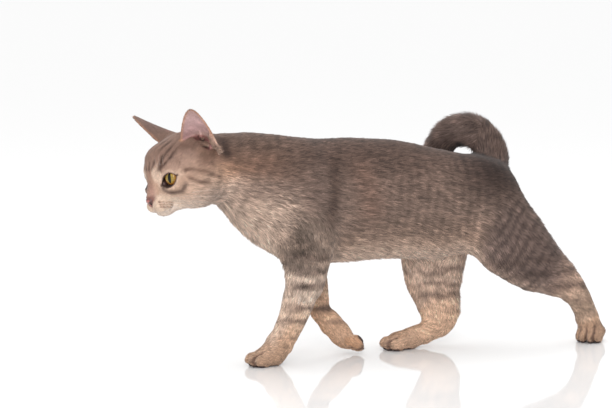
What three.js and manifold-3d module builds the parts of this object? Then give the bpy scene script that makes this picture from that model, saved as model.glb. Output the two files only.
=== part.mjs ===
// A young shorthaired domestic cat in mid-stride, life size. The left forepaw, the right hind paw and
// the left hind paw are on the floor, the right forepaw is just lifted, and the tail curls over the
// back to the right flank. The body, out to the tips of its coat, is one smooth field, meshed piece by
// piece and parted with thin cuts. Millimetres, +Z up with the floor at z = 0. The cat faces -X and its
// left side faces -Y. Every place below is measured from a point on the floor under the spine; the last
// lines move the origin under the middle of the whole.
import * as THREE from "three";
import Module from "manifold-3d";

const wasm = await Module();
wasm.setup();

// ---- Driving sizes ----------------------------------------------------------------------------------

const CUT = 0.4; // gap between neighbouring pieces
const SHORTEST_EDGE = 0.05; // the cuts leave shorter ones, which are closed up

const EYE_RADIUS = 10.4;
const EYE_CENTRE = new THREE.Vector3(-1, 20.5, 2.5); // of the left eyeball, in the head's frame
const EYE_OUTWARD = THREE.MathUtils.degToRad(26); // the line of sight of an eye, away from the nose
const LID_WIDTH = 19;
const LID_HEIGHT = 14;
const LID_SLANT = 0.3; // the outer corner is the higher
const NOSE_RADIUS = 6; // of the ball that parts the nose leather from the muzzle
const NOSE_CENTRE = new THREE.Vector3(23.5, 0, -15.5); // in the head's frame

const EAR_WIDTH = 36;
const EAR_THICKNESS = 2.6;
const EAR_CUP = 1.25; // how far the root of an ear is rolled up, as half an angle
const EAR_ROOT = 7; // how deep an ear stands in the head

// Mesh sizes along X, Y and Z: each piece is meshed as coarsely as its shape allows.
const TRUNK_CELL = new THREE.Vector3(19, 13, 13);
const UPPER_CELL = new THREE.Vector3(13, 11, 13);
const LOWER_CELL = new THREE.Vector3(8.4, 8.4, 11);
const PAW_CELL = new THREE.Vector3(7.2, 6.6, 6.6);
const TAIL_CELL = new THREE.Vector3(10, 10, 10);
const HEAD_CELL = new THREE.Vector3(7, 7, 7);

// The trunk: along the body, its top line, its belly line and half its width.
const TRUNK_RINGS = [
  { x: -127, top: 231, belly: 125, half: 37 },
  { x: -102, top: 231, belly: 102, half: 46 },
  { x: -62, top: 230, belly: 100, half: 50 },
  { x: -10, top: 226, belly: 101, half: 51 },
  { x: 42, top: 216, belly: 99, half: 49 },
  { x: 80, top: 209, belly: 106, half: 45 },
  { x: 102, top: 203, belly: 131, half: 36 },
];

// The ears, in the head's frame: the middle of the root, the tip, and the way from the front edge to
// the back. The left ear is turned to the side, the right one is laid further forward and out.
const EARS = {
  left: {
    base: new THREE.Vector3(-36, 24, 19),
    tip: new THREE.Vector3(-29, 43, 64),
    along: new THREE.Vector3(-0.75, 0.6, -0.3),
  },
  right: {
    base: new THREE.Vector3(-28, -26, 23),
    tip: new THREE.Vector3(-12, -50, 57),
    along: new THREE.Vector3(-0.7, -0.45, -0.4),
  },
};

// ---- Fields: the distance to a surface, negative inside ---------------------------------------------

const v = (x, y, z) => new THREE.Vector3(x, y, z);

// Union of two fields with a fillet of about r.
function blend(a, b, r) {
  const h = Math.max(r - Math.abs(a - b), 0) / r;
  return Math.min(a, b) - (h * h * r) / 4;
}

// An ellipsoid with its axes along the frame's.
function egg(p, at, radii) {
  const x = p.x - at.x;
  const y = p.y - at.y;
  const z = p.z - at.z;
  const k = Math.hypot(x / radii.x, y / radii.y, z / radii.z);
  const slope = Math.hypot(x / radii.x ** 2, y / radii.y ** 2, z / radii.z ** 2);
  return slope > 0 ? (k * (k - 1)) / slope : -Math.min(radii.x, radii.y, radii.z);
}

// A tapered rod with round ends.
function rod(p, a, b, ra, rb) {
  const axis = b.clone().sub(a);
  const from = p.clone().sub(a);
  const t = THREE.MathUtils.clamp(from.dot(axis) / axis.lengthSq(), 0, 1);
  return from.addScaledVector(axis, -t).length() - THREE.MathUtils.lerp(ra, rb, t);
}

// A stretch of body along a smooth curve through its rings. Each ring has a centre, half its width from
// side to side and half its depth in the side view. Past the cutoff the distance need not be worked
// out.
function stretch(rings, steps = 4) {
  const curve = new THREE.CatmullRomCurve3(rings.map((r) => r.at), false, "centripetal");
  const last = rings.length - 1;
  const count = last * steps;
  const spots = [];
  for (let i = 0; i <= count; i++) {
    const t = i / count;
    const k = Math.min(Math.floor(t * last), last - 1);
    const share = THREE.MathUtils.smoothstep(t * last - k, 0, 1) * 0.5 + (t * last - k) * 0.5;
    spots.push({
      at: curve.getPoint(t),
      wide: THREE.MathUtils.lerp(rings[k].wide, rings[k + 1].wide, share),
      deep: THREE.MathUtils.lerp(rings[k].deep, rings[k + 1].deep, share),
    });
  }
  const links = spots.slice(1).map((b, i) => {
    const a = spots[i];
    const axis = b.at.clone().sub(a.at);
    const side = v(0, 1, 0).addScaledVector(axis, -axis.y / axis.lengthSq()).normalize();
    return { a, b, axis, side, size: axis.lengthSq() };
  });
  const reach = Math.max(...rings.map((r) => Math.max(r.wide, r.deep)));
  const from = v(0, 0, 0);
  return (p, cutoff = Infinity) => {
    let best = Infinity;
    for (const { a, b, axis, side, size } of links) {
      from.copy(p).sub(a.at);
      const t = THREE.MathUtils.clamp(from.dot(axis) / size, 0, 1);
      from.addScaledVector(axis, -t);
      const whole = from.length();
      if (whole - reach > Math.min(best, cutoff)) continue;
      const across = from.dot(side);
      const along = Math.sqrt(Math.max(whole * whole - across * across, 0));
      const wide = THREE.MathUtils.lerp(a.wide, b.wide, t);
      const deep = THREE.MathUtils.lerp(a.deep, b.deep, t);
      const k = Math.hypot(across / wide, along / deep);
      const slope = Math.hypot(across / wide ** 2, along / deep ** 2);
      best = Math.min(best, slope > 0 ? (k * (k - 1)) / slope : -Math.min(wide, deep));
    }
    return best;
  };
}

const ring = (x, y, z, wide, deep) => ({ at: v(x, y, z), wide, deep });

// A frame for a piece that is turned: its axes point forward, to the side and up from a point.
function pose(at, forward, up) {
  const f = forward.clone().normalize();
  const s = up.clone().cross(f).normalize();
  const u = f.clone().cross(s);
  const matrix = new THREE.Matrix4().makeBasis(f, s, u).setPosition(at);
  const inverse = matrix.clone().invert();
  return {
    matrix,
    inward: (p) => p.clone().applyMatrix4(inverse),
    outward: (x, y, z) => v(x, y, z).applyMatrix4(matrix),
    turn: (x, y, z) => v(x, y, z).transformDirection(matrix),
  };
}

// ---- Head: its own frame, from midway between the eyes, has +X to the nose, +Y to the left, +Z up ----

const HEAD_TURN = THREE.MathUtils.degToRad(6.5); // to the left of the body
const HEAD_NOD = THREE.MathUtils.degToRad(18);
const MID_EYES = v(-260, -7, 196);

const headForward = v(
  -Math.cos(HEAD_NOD) * Math.cos(HEAD_TURN),
  -Math.cos(HEAD_NOD) * Math.sin(HEAD_TURN),
  -Math.sin(HEAD_NOD),
);
const headPose = pose(MID_EYES, headForward, v(0, 0, 1));

function headField(world) {
  const p = headPose.inward(world);
  p.y = Math.abs(p.y);
  let d = egg(p, v(-28, 0, 8), v(37, 34, 30.5)); // braincase
  d = blend(d, egg(p, v(-8, 0, 11), v(18, 25, 17)), 12); // forehead
  d = blend(d, egg(p, v(-20, 21, -13), v(24, 18, 20)), 12); // cheek
  d = blend(d, rod(p, v(3, 0, 2), v(18, 0, -13), 11, 7), 10); // bridge of the nose
  d = blend(d, egg(p, EYE_CENTRE, v(13.2, 13.2, 12.8)), 5); // lids
  d = blend(d, egg(p, v(12.5, 6.8, -21), v(11.5, 9.4, 8.5)), 5); // whisker pad
  d = blend(d, egg(p, v(9, 0, -29), v(9, 8.5, 6.5)), 5); // chin
  d = blend(d, rod(p, v(4, 0, -25), v(-22, 13, -22), 9.5, 14), 8); // lower jaw
  d = blend(d, egg(p, v(-33, 23, 19), v(15, 12, 12)), 10); // root of the ear
  return d;
}

// ---- Trunk, neck, tail and legs ---------------------------------------------------------------------

const trunkField = stretch(
  TRUNK_RINGS.map((r) => ring(r.x, 0, (r.top + r.belly) / 2, r.half, (r.top - r.belly) / 2)),
);

const neckField = stretch([
  ring(-220, -4, 202, 30, 31.5),
  ring(-192, -2, 202.5, 34, 36.5),
  ring(-162, 0, 194, 38, 47),
  ring(-136, 0, 179, 43, 56),
]);

const TAIL_RINGS = [
  ring(117, 0, 174, 15.5, 18.5),
  ring(123, 5, 196, 15, 18.5),
  ring(116, 11, 216, 15, 18.5),
  ring(103, 19, 230, 14.5, 17),
  ring(87, 29, 228, 14.5, 16.5),
  ring(79, 45, 211, 14, 16.5),
  ring(76, 62, 184, 12.5, 14),
  ring(81, 71, 156, 11, 12),
  ring(93, 72, 132, 9.5, 10),
  ring(105, 70, 117, 7.5, 8),
];
const tailField = stretch(TAIL_RINGS);
const tailRootField = stretch(TAIL_RINGS.slice(0, 2));

// Each leg runs from the shoulder or hip to the knuckles, and ends in a paw with a forward and an
// upward direction. A slanted plane parts it from the trunk; the joint and the wrist are the rings
// where it is parted again.
const LEGS = {
  fore_left: {
    rings: [
      ring(-122, -28, 178, 22, 34),
      ring(-118, -36, 132, 19, 32),
      ring(-117, -37, 100, 17, 25),
      ring(-121, -33, 76, 14.5, 19.5),
      ring(-128, -26, 46, 12.5, 15.5),
      ring(-137, -20, 25, 12, 14),
      ring(-143, -17, 15, 12, 13),
    ],
    joint: 3,
    wrist: 5,
    from: "trunk_chest",
    root: { at: v(-110, -16, 98), to: v(-0.1, -0.75, -0.65) },
    paw: pose(v(-150.5, -16, 0), v(-1, 0.02, 0), v(0, 0, 1)),
  },
  fore_right: {
    rings: [
      ring(-112, 28, 178, 22, 38),
      ring(-98, 36, 132, 19, 34),
      ring(-84, 36, 100, 16, 22),
      ring(-76, 29, 73, 12, 15),
      ring(-75, 20, 48, 10.5, 12),
      ring(-65, 15, 34, 11, 10.5),
      ring(-56, 13, 26, 11, 10),
    ],
    joint: 3,
    wrist: 4,
    from: "trunk_chest",
    root: { at: v(-95, 16, 98), to: v(-0.1, 0.75, -0.65) },
    paw: pose(v(-45, 12, 25), v(0.8, -0.08, -0.6), v(-0.6, 0, -0.8)),
  },
  hind_left: {
    rings: [
      ring(98, -24, 156, 25, 42),
      ring(124, -31, 116, 23, 42),
      ring(149, -35, 92, 19, 32),
      ring(172, -34, 78, 15.5, 24),
      ring(193, -32, 65, 12.5, 17.5),
      ring(209, -30, 50, 11.5, 14),
      ring(220, -26, 33, 11.5, 13),
      ring(227, -24, 18, 11.5, 12.5),
    ],
    joint: 3,
    wrist: 6,
    from: "trunk_hips",
    root: { at: v(105, -12, 100), to: v(0.45, -0.7, -0.55) },
    paw: pose(v(231, -23, 0), v(-0.8, -0.6, 0), v(0, 0, 1)),
  },
  hind_right: {
    rings: [
      ring(84, 24, 154, 25, 40),
      ring(67, 32, 112, 23, 42),
      ring(65, 34, 82, 19, 36.5),
      ring(66, 30, 56, 15.5, 27.5),
      ring(71, 24, 31, 12.5, 19.5),
      ring(54, 20, 17, 11, 12.5),
      ring(34, 17, 12, 11.5, 11),
    ],
    joint: 3,
    wrist: 5,
    from: "trunk_hips",
    root: { at: v(66, 14, 96), to: v(0, 0.78, -0.62) },
    paw: pose(v(19, 16, 0), v(-1, 0.03, 0), v(0, 0, 1)),
  },
};

function pawField(frame) {
  return (world) => {
    const p = frame.inward(world);
    p.y = Math.abs(p.y);
    const palm = egg(p, v(-2, 0, 9.5), v(16, 12.5, 10.8));
    const inner = egg(p, v(13, 4.3, 8), v(9.5, 5.4, 9));
    const outer = egg(p, v(8, 10.4, 7.5), v(9.5, 5, 8.5));
    return blend(palm, blend(inner, outer, 2), 4);
  };
}

for (const leg of Object.values(LEGS)) {
  leg.limb = stretch(leg.rings);
  leg.foot = pawField(leg.paw);
  leg.field = (p, cutoff) => blend(leg.limb(p, cutoff), leg.foot(p), 8);
}

const FLESH_BLEND = 18; // fillet between the trunk and what grows from it

function bodyField(p) {
  let d = trunkField(p);
  d = blend(d, neckField(p), 14);
  d = blend(d, headField(p), 12);
  d = blend(d, tailRootField(p), 12);
  for (const leg of Object.values(LEGS)) d = blend(d, leg.field(p, d + FLESH_BLEND), FLESH_BLEND);
  return d;
}

// ---- Meshing ----------------------------------------------------------------------------------------

// A closed mesh of a field's inside within a box: one corner for each cell that the surface crosses,
// one face for each grid edge that it crosses.
function surfaceNet(field, low, high, cell) {
  const n = ["x", "y", "z"].map((k) => Math.ceil((high[k] - low[k]) / cell[k]) + 1);
  const index = (i, j, k) => (k * n[1] + j) * n[0] + i;
  const values = new Float64Array(n[0] * n[1] * n[2]);
  const p = v(0, 0, 0);
  for (let k = 0; k < n[2]; k++)
    for (let j = 0; j < n[1]; j++)
      for (let i = 0; i < n[0]; i++) {
        p.set(i, j, k).multiply(cell).add(low);
        const edge = [i, j, k].some((m, a) => m === 0 || m === n[a] - 1);
        const value = field(p);
        values[index(i, j, k)] = edge ? Math.max(value, 0.01) : value || 1e-6;
      }
  const corners = [];
  const places = [];
  for (let c = 0; c < 8; c++) corners.push([c & 1, (c >> 1) & 1, c >> 2]);
  const vertexOf = new Map();
  for (let k = 0; k < n[2] - 1; k++)
    for (let j = 0; j < n[1] - 1; j++)
      for (let i = 0; i < n[0] - 1; i++) {
        const at = corners.map(([a, b, c]) => values[index(i + a, j + b, k + c)]);
        const sum = v(0, 0, 0);
        let crossings = 0;
        for (let c = 0; c < 8; c++)
          for (const bit of [1, 2, 4]) {
            const e = c | bit;
            if (e === c || at[c] < 0 === at[e] < 0) continue;
            const t = at[c] / (at[c] - at[e]);
            sum.add(v(...corners[c].map((m, a) => m + (corners[e][a] - m) * t)));
            crossings++;
          }
        if (!crossings) continue;
        sum.divideScalar(crossings);
        vertexOf.set(index(i, j, k), places.length);
        places.push(sum.add(v(i, j, k)).multiply(cell).add(low));
      }
  const faces = [];
  const strides = [1, n[0], n[0] * n[1]];
  for (let k = 0; k < n[2] - 1; k++)
    for (let j = 0; j < n[1] - 1; j++)
      for (let i = 0; i < n[0] - 1; i++)
        for (let axis = 0; axis < 3; axis++) {
          const here = index(i, j, k);
          const inside = values[here] < 0;
          if (inside === values[here + strides[axis]] < 0) continue;
          const b = strides[(axis + 1) % 3];
          const c = strides[(axis + 2) % 3];
          const quad = [here - b - c, here - c, here, here - b].map((q) => vertexOf.get(q));
          if (!inside) quad.reverse();
          faces.push(quad);
        }
  const most = Math.min(cell.x, cell.y, cell.z) / 2;
  places.forEach((q) => settle(q, field, most));
  return solidFrom(places, faces.flatMap((q) => halves(q, places)));
}

// Moves a point onto the field's surface, by no more than the most it may.
function settle(point, field, most) {
  const start = point.clone();
  const h = 0.2;
  for (let step = 0; step < 4; step++) {
    const d = field(point);
    const slope = v(
      field(v(point.x + h, point.y, point.z)) - d,
      field(v(point.x, point.y + h, point.z)) - d,
      field(v(point.x, point.y, point.z + h)) - d,
    ).divideScalar(h);
    point.addScaledVector(slope, -d / Math.max(slope.lengthSq(), 0.3));
  }
  const moved = point.clone().sub(start);
  if (moved.length() > most) point.copy(start).addScaledVector(moved, most / moved.length());
}

// A four-sided face as two triangles, along its shorter diagonal.
function halves([a, b, c, d], places) {
  const short = places[a].distanceTo(places[c]) < places[b].distanceTo(places[d]);
  return short ? [[a, b, c], [a, c, d]] : [[a, b, d], [b, c, d]];
}

function solidFrom(places, triangles) {
  const vertProperties = new Float32Array(places.flatMap((q) => [q.x, q.y, q.z]));
  return new wasm.Manifold(
    new wasm.Mesh({ numProp: 3, vertProperties, triVerts: new Uint32Array(triangles.flat()) }),
  );
}

// ---- Parting ----------------------------------------------------------------------------------------

// What is left of a solid on the side of a plane that its normal points to, short of the plane by half
// a cut.
function beyond(solid, point, normal) {
  const n = normal.clone().normalize();
  return solid.trimByPlane(n.toArray(), point.dot(n) + CUT / 2);
}

const before = (solid, point, normal) => beyond(solid, point, normal.clone().negate());

// A closed three.js geometry as a solid to join or cut with.
function solidOf(geometry) {
  const positions = geometry.getAttribute("position");
  const index = geometry.index ? [...geometry.index.array] : [...Array(positions.count).keys()];
  const seen = new Map();
  const places = [];
  const shared = index.map((i) => {
    const q = v(positions.getX(i), positions.getY(i), positions.getZ(i));
    const key = q.toArray().map((m) => Math.round(m * 1e4)).join();
    if (!seen.has(key)) seen.set(key, places.push(q) - 1);
    return seen.get(key);
  });
  const triangles = [];
  for (let i = 0; i < shared.length; i += 3) {
    const t = shared.slice(i, i + 3);
    if (new Set(t).size === 3) triangles.push(t);
  }
  return solidFrom(places, triangles);
}

const parts = {};

// ---- Trunk and neck: planes across the body, then one slanted plane off each leg --------------------

const HEAD_PLANE = { at: headPose.outward(-50, 0, 10), to: headPose.turn(1, 0, 0.3) };
const NECK_PLANE = { at: v(-160, 0, 185), to: v(-0.85, 0, 0.5) };
const WAIST_PLANE = { at: v(-58, 0, 0), to: v(-1, 0, 0) };
const HIP_PLANE = { at: v(24, 0, 0), to: v(-1, 0, 0) };
const TAIL_PLANE = { at: v(133, 0, 194), to: v(0.35, 0, 0.93) };

const trunkParts = {
  neck: { box: [v(-250, -60, 130), v(-120, 60, 255)], ahead: [NECK_PLANE], behind: [HEAD_PLANE] },
  trunk_chest: { box: [v(-200, -72, 75), v(-48, 70, 250)], ahead: [WAIST_PLANE], behind: [NECK_PLANE] },
  trunk_waist: { box: [v(-70, -70, 75), v(34, 70, 250)], ahead: [HIP_PLANE], behind: [WAIST_PLANE] },
  trunk_hips: { box: [v(14, -70, 75), v(170, 70, 230)], ahead: [], behind: [HIP_PLANE, TAIL_PLANE] },
};

for (const [name, { box, ahead, behind }] of Object.entries(trunkParts)) {
  let solid = surfaceNet(bodyField, box[0], box[1], TRUNK_CELL);
  for (const plane of ahead) solid = beyond(solid, plane.at, plane.to);
  for (const plane of behind) solid = before(solid, plane.at, plane.to);
  for (const leg of Object.values(LEGS))
    if (leg.from === name) solid = before(solid, leg.root.at, leg.root.to);
  parts[name] = solid;
}

// ---- Legs: an upper piece off the trunk, a lower piece and a paw ------------------------------------

const REACH_OF_FLESH = { upper: 60, lower: 38, paw: 24 }; // of a meshed box beyond the leg's own points
const TOE_TIP = 26; // from the middle of a paw

function boxAround(points, margin) {
  const box = new THREE.Box3().setFromPoints(points);
  return [box.min.addScalar(-margin), box.max.addScalar(margin)];
}

for (const [name, leg] of Object.entries(LEGS)) {
  const spots = leg.rings.map((r) => r.at);
  const across = (i) => ({ at: spots[i], to: spots[i + 1].clone().sub(spots[i - 1]) });
  const middle = across(leg.joint);
  const wrist = across(leg.wrist);
  const side = v(0, Math.sign(spots[1].y), 0);

  const [low, high] = boxAround(spots.slice(0, leg.joint + 1), REACH_OF_FLESH.upper);
  low.z = middle.at.z - REACH_OF_FLESH.lower;
  let upper = surfaceNet(bodyField, low, high, UPPER_CELL);
  upper = beyond(upper, leg.root.at, leg.root.to);
  upper = before(upper, middle.at, middle.to);
  upper = beyond(upper, v(0, 0, 0), side);
  if (leg.from === "trunk_chest") {
    upper = beyond(upper, WAIST_PLANE.at, WAIST_PLANE.to);
    upper = before(upper, NECK_PLANE.at, NECK_PLANE.to);
  } else {
    upper = before(upper, HIP_PLANE.at, HIP_PLANE.to);
  }
  parts[`leg_${name}_upper`] = upper;

  const nearby = (p) => blend(trunkField(p), leg.field(p), FLESH_BLEND);
  const shinBox = boxAround(spots.slice(leg.joint, leg.wrist + 1), REACH_OF_FLESH.lower);
  let lower = surfaceNet(nearby, ...shinBox, LOWER_CELL);
  lower = beyond(lower, middle.at, middle.to);
  lower = before(lower, wrist.at, wrist.to);
  lower = beyond(lower, leg.root.at, leg.root.to);
  parts[`leg_${name}_lower`] = lower;

  const toes = [0, TOE_TIP].map((x) => leg.paw.outward(x, 0, 8));
  const paw = surfaceNet(leg.field, ...boxAround([wrist.at, ...toes], REACH_OF_FLESH.paw), PAW_CELL);
  parts[`paw_${name}`] = beyond(paw, wrist.at, wrist.to).trimByPlane([0, 0, 1], 0);
}

// ---- Tail: three pieces -----------------------------------------------------------------------------

const tail = surfaceNet(tailField, v(40, -30, 95), v(170, 100, 275), TAIL_CELL);
const TAIL_TOP = { at: v(100, 0, 0), to: v(1, 0, 0) };
const TAIL_DROP = { at: v(0, 0, 186), to: v(0, 0, 1) };
const tailAbove = beyond(tail, TAIL_TOP.at, TAIL_TOP.to);
parts.tail_base = beyond(tailAbove, TAIL_PLANE.at, TAIL_PLANE.to);
parts.tail_middle = beyond(before(tail, TAIL_TOP.at, TAIL_TOP.to), TAIL_DROP.at, TAIL_DROP.to);
parts.tail_end = beyond(before(tail, TAIL_DROP.at, TAIL_DROP.to), v(0, 30, 0), v(0, 1, 0));

// ---- Eyes, nose and ears, in the head's frame -------------------------------------------------------

const inHead = (geometry) => solidOf(geometry.applyMatrix4(headPose.matrix));

function ball(radius, at) {
  return inHead(new THREE.SphereGeometry(radius, 12, 8).translate(at.x, at.y, at.z));
}

// The opening between the lids: wider than high, along the line of sight.
function lidOpening(side) {
  const sight = new THREE.Matrix4().makeRotationZ(side * EYE_OUTWARD);
  return new THREE.SphereGeometry(1, 14, 8)
    .scale(7, LID_WIDTH / 2, LID_HEIGHT / 2)
    .rotateX(side * LID_SLANT)
    .translate(10, 0, 1)
    .applyMatrix4(sight)
    .translate(EYE_CENTRE.x, side * EYE_CENTRE.y, EYE_CENTRE.z);
}

// A cupped ear as one closed shell. Its root sits in the head; it can be grown to cut its own slot.
function earShell({ base, tip, along }, grow = 0) {
  const up = tip.clone().sub(base);
  const height = up.length();
  up.normalize();
  const across = along.clone().addScaledVector(up, -along.dot(up)).normalize();
  const open = across.clone().cross(up).multiplyScalar(Math.sign(base.y));
  const rows = 7;
  const columns = 6;
  const points = [[], []];
  for (let side = 0; side < 2; side++)
    for (let i = 0; i <= rows; i++) {
      const s = i / rows;
      const rise = THREE.MathUtils.lerp(-EAR_ROOT - grow, height + grow, s);
      const share = THREE.MathUtils.clamp(rise / height, 0, 1);
      const half = (EAR_WIDTH / 2) * Math.sqrt(1 - share ** 2.6) * (1 - 0.38 * share) + 1;
      const bend = THREE.MathUtils.lerp(EAR_CUP, 0.4, share);
      const radius = half / Math.sin(bend);
      const wall = (EAR_THICKNESS * (1 - 0.3 * share)) / 2 + grow;
      for (let j = 0; j <= columns; j++) {
        const t = (j / columns) * 2 - 1;
        const turn = t * (bend + grow / radius);
        const reach = radius + (side ? wall : -wall);
        const p = base
          .clone()
          .addScaledVector(up, rise)
          .addScaledVector(across, reach * Math.sin(turn))
          .addScaledVector(open, radius * Math.cos(bend) - reach * Math.cos(turn));
        points[side].push(p);
      }
    }
  const places = points.flat();
  const size = points[0].length;
  const at = (side, i, j) => side * size + i * (columns + 1) + j;
  const triangles = [];
  const quad = (a, b, c, d) => triangles.push(...halves([a, b, c, d], places));
  for (let i = 0; i < rows; i++)
    for (let j = 0; j < columns; j++) {
      quad(at(0, i, j), at(0, i, j + 1), at(0, i + 1, j + 1), at(0, i + 1, j));
      quad(at(1, i, j + 1), at(1, i, j), at(1, i + 1, j), at(1, i + 1, j + 1));
    }
  for (let i = 0; i < rows; i++) {
    quad(at(1, i, 0), at(0, i, 0), at(0, i + 1, 0), at(1, i + 1, 0));
    quad(at(0, i, columns), at(1, i, columns), at(1, i + 1, columns), at(0, i + 1, columns));
  }
  for (let j = 0; j < columns; j++) {
    quad(at(0, 0, j + 1), at(0, 0, j), at(1, 0, j), at(1, 0, j + 1));
    quad(at(0, rows, j), at(0, rows, j + 1), at(1, rows, j + 1), at(1, rows, j));
  }
  if (base.y < 0) triangles.forEach((t) => t.reverse());
  return solidFrom(places.map((p) => p.applyMatrix4(headPose.matrix)), triangles);
}

const headEnds = [headPose.outward(-75, 0, 0), headPose.outward(40, 0, 0)];
let head = surfaceNet(bodyField, ...boxAround(headEnds, 52), HEAD_CELL);
head = beyond(head, HEAD_PLANE.at, HEAD_PLANE.to);
parts.nose = head.intersect(ball(NOSE_RADIUS, NOSE_CENTRE));
head = head.subtract(ball(NOSE_RADIUS + CUT, NOSE_CENTRE));
for (const [name, side] of [["left", 1], ["right", -1]]) {
  const at = v(EYE_CENTRE.x, side * EYE_CENTRE.y, EYE_CENTRE.z);
  const slot = earShell(EARS[name], 2 * CUT);
  parts[`eye_${name}`] = ball(EYE_RADIUS, at);
  parts[`ear_${name}`] = earShell(EARS[name]);
  head = head.subtract(ball(EYE_RADIUS + CUT, at));
  head = head.subtract(inHead(lidOpening(side)));
  head = head.subtract(slot);
  parts.neck = parts.neck.subtract(slot);
}
parts.head = head;

// ---- The model: the origin is under the middle of the whole -----------------------------------------

const COLOURS = { eye: 0x9a7a2c, nose: 0xb06a62, ear: 0x9c8478 };

function meshOf(name, solid) {
  const color = COLOURS[name.split("_")[0]] ?? 0x84736a;
  const { vertProperties, triVerts, numProp } = solid.simplify(SHORTEST_EDGE).getMesh();
  const positions = [];
  for (let i = 0; i < vertProperties.length; i += numProp) {
    positions.push(...vertProperties.slice(i, i + 3));
  }
  const geometry = new THREE.BufferGeometry();
  geometry.setAttribute("position", new THREE.Float32BufferAttribute(positions, 3));
  geometry.setIndex([...triVerts]);
  geometry.computeVertexNormals();
  const material = new THREE.MeshStandardMaterial({ color, roughness: 0.8, metalness: 0 });
  const mesh = new THREE.Mesh(geometry, material);
  mesh.name = name;
  return mesh;
}

const body = new THREE.Group();
for (const [name, solid] of Object.entries(parts)) body.add(meshOf(name, solid));
const middle = new THREE.Box3().setFromObject(body, true).getCenter(v(0, 0, 0));
body.position.set(-middle.x, -middle.y, 0);

const cat = new THREE.Group();
cat.add(body);

export default cat;
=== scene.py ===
"""A young shorthaired tabby cat in mid-stride, life size, on a pale studio floor.

One skin replaces the flesh of the CAD model and lies inside it by the coat's depth. Tufts of solid
mesh stand on it. Shapes are worked out in millimetres and stored in metres."""
import math

import bpy
import numpy as np
import openvdb
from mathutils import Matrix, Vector


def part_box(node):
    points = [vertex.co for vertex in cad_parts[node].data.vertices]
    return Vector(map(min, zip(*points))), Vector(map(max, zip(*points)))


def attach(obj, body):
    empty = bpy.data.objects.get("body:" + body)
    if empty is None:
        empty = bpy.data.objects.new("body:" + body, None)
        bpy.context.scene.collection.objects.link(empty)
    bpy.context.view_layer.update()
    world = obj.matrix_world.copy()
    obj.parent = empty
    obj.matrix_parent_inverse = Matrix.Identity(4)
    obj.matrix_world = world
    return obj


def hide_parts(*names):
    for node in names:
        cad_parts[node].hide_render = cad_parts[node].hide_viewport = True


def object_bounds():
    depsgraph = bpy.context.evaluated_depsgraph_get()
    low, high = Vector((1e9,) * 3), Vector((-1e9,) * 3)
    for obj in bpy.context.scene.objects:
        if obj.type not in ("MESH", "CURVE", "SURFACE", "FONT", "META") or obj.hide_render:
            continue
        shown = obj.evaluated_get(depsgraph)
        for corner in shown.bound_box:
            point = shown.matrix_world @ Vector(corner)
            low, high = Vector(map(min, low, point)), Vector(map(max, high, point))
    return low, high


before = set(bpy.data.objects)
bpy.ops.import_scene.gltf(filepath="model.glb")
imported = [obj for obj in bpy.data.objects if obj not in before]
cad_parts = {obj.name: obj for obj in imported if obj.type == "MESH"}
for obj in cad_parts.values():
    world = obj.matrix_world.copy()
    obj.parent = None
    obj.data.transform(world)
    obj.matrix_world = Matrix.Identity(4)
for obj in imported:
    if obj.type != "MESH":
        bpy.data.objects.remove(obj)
CAD_BOX = [list(corner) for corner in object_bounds()]
MM = 0.001
BODY = "root"


# ---- Small tools ----


def unit(v):
    return v / np.maximum(np.linalg.norm(v, axis=-1, keepdims=True), 1e-9)


def ramp(x, a, b):
    """0 before a, 1 after b, and smooth between."""
    t = np.clip((x - a) / (b - a), 0, 1)
    return t * t * (3 - 2 * t)


def lerp(a, b, t):
    return a + (b - a) * t


def soft_min(a, b, r):
    """The union of two fields with a fillet of about r."""
    h = np.maximum(r - np.abs(a - b), 0) / r
    return np.minimum(a, b) - h * h * r / 4


def soft_max(a, b, r):
    return -soft_min(-a, -b, r)


def egg(p, at, radii):
    """The distance to an ellipsoid with its axes along the frame's, negative inside."""
    q = p - np.array(at, float)
    radii = np.array(radii, float)
    k = np.linalg.norm(q / radii, axis=1)
    slope = np.linalg.norm(q / radii**2, axis=1)
    return k * (k - 1) / np.maximum(slope, 1e-6)


def nearest(p, a, b):
    """How far along the stretch from a to b each point's nearest spot is, and its distance."""
    a, axis = np.array(a, float), np.array(b, float) - np.array(a, float)
    t = np.clip((p - a) @ axis / (axis @ axis), 0, 1)
    return t, np.linalg.norm(p - a - t[:, None] * axis, axis=1)


def rod(p, a, b, ra, rb):
    t, d = nearest(p, a, b)
    return d - lerp(ra, rb, t)


def line_distance(p, line):
    return np.min([nearest(p, a, b)[1] for a, b in zip(line, line[1:])], axis=0)


def stroke(p, line, width):
    """1 on a line through the given places, fading to 0 over the width."""
    return np.exp(-((line_distance(p, line) / width) ** 2))


CORNERS = [np.array([corner & 1, corner >> 1 & 1, corner >> 2]) for corner in range(8)]


def noise(p, scale, seed):
    """Smooth value noise from -1 to 1, with features of about the scale."""
    table = np.random.default_rng(seed).uniform(-1, 1, 4096)
    q = p / np.array(scale, float) + 500
    cell = np.floor(q).astype(np.int64)
    f = q - cell
    f = f * f * (3 - 2 * f)
    total = 0
    for bit in CORNERS:
        c = cell + bit
        key = (c[:, 0] * 73856093) ^ (c[:, 1] * 19349663) ^ (c[:, 2] * 83492791)
        weight = np.prod(np.where(bit, f, 1 - f), axis=1)
        total = total + weight * table[key & 4095]
    return total


# ---- What the CAD model gives ----


def points_of(node):
    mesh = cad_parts[node].data
    co = np.empty(len(mesh.vertices) * 3, np.float32)
    mesh.vertices.foreach_get("co", co)
    return co.reshape(-1, 3).astype(float) / MM


def faces_of(node):
    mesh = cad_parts[node].data
    mesh.calc_loop_triangles()
    faces = np.empty(len(mesh.loop_triangles) * 3, np.int32)
    mesh.loop_triangles.foreach_get("vertices", faces)
    return faces.reshape(-1, 3)


def middle(node):
    low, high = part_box(node)
    return np.array((low + high) / 2, float) / MM


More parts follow.
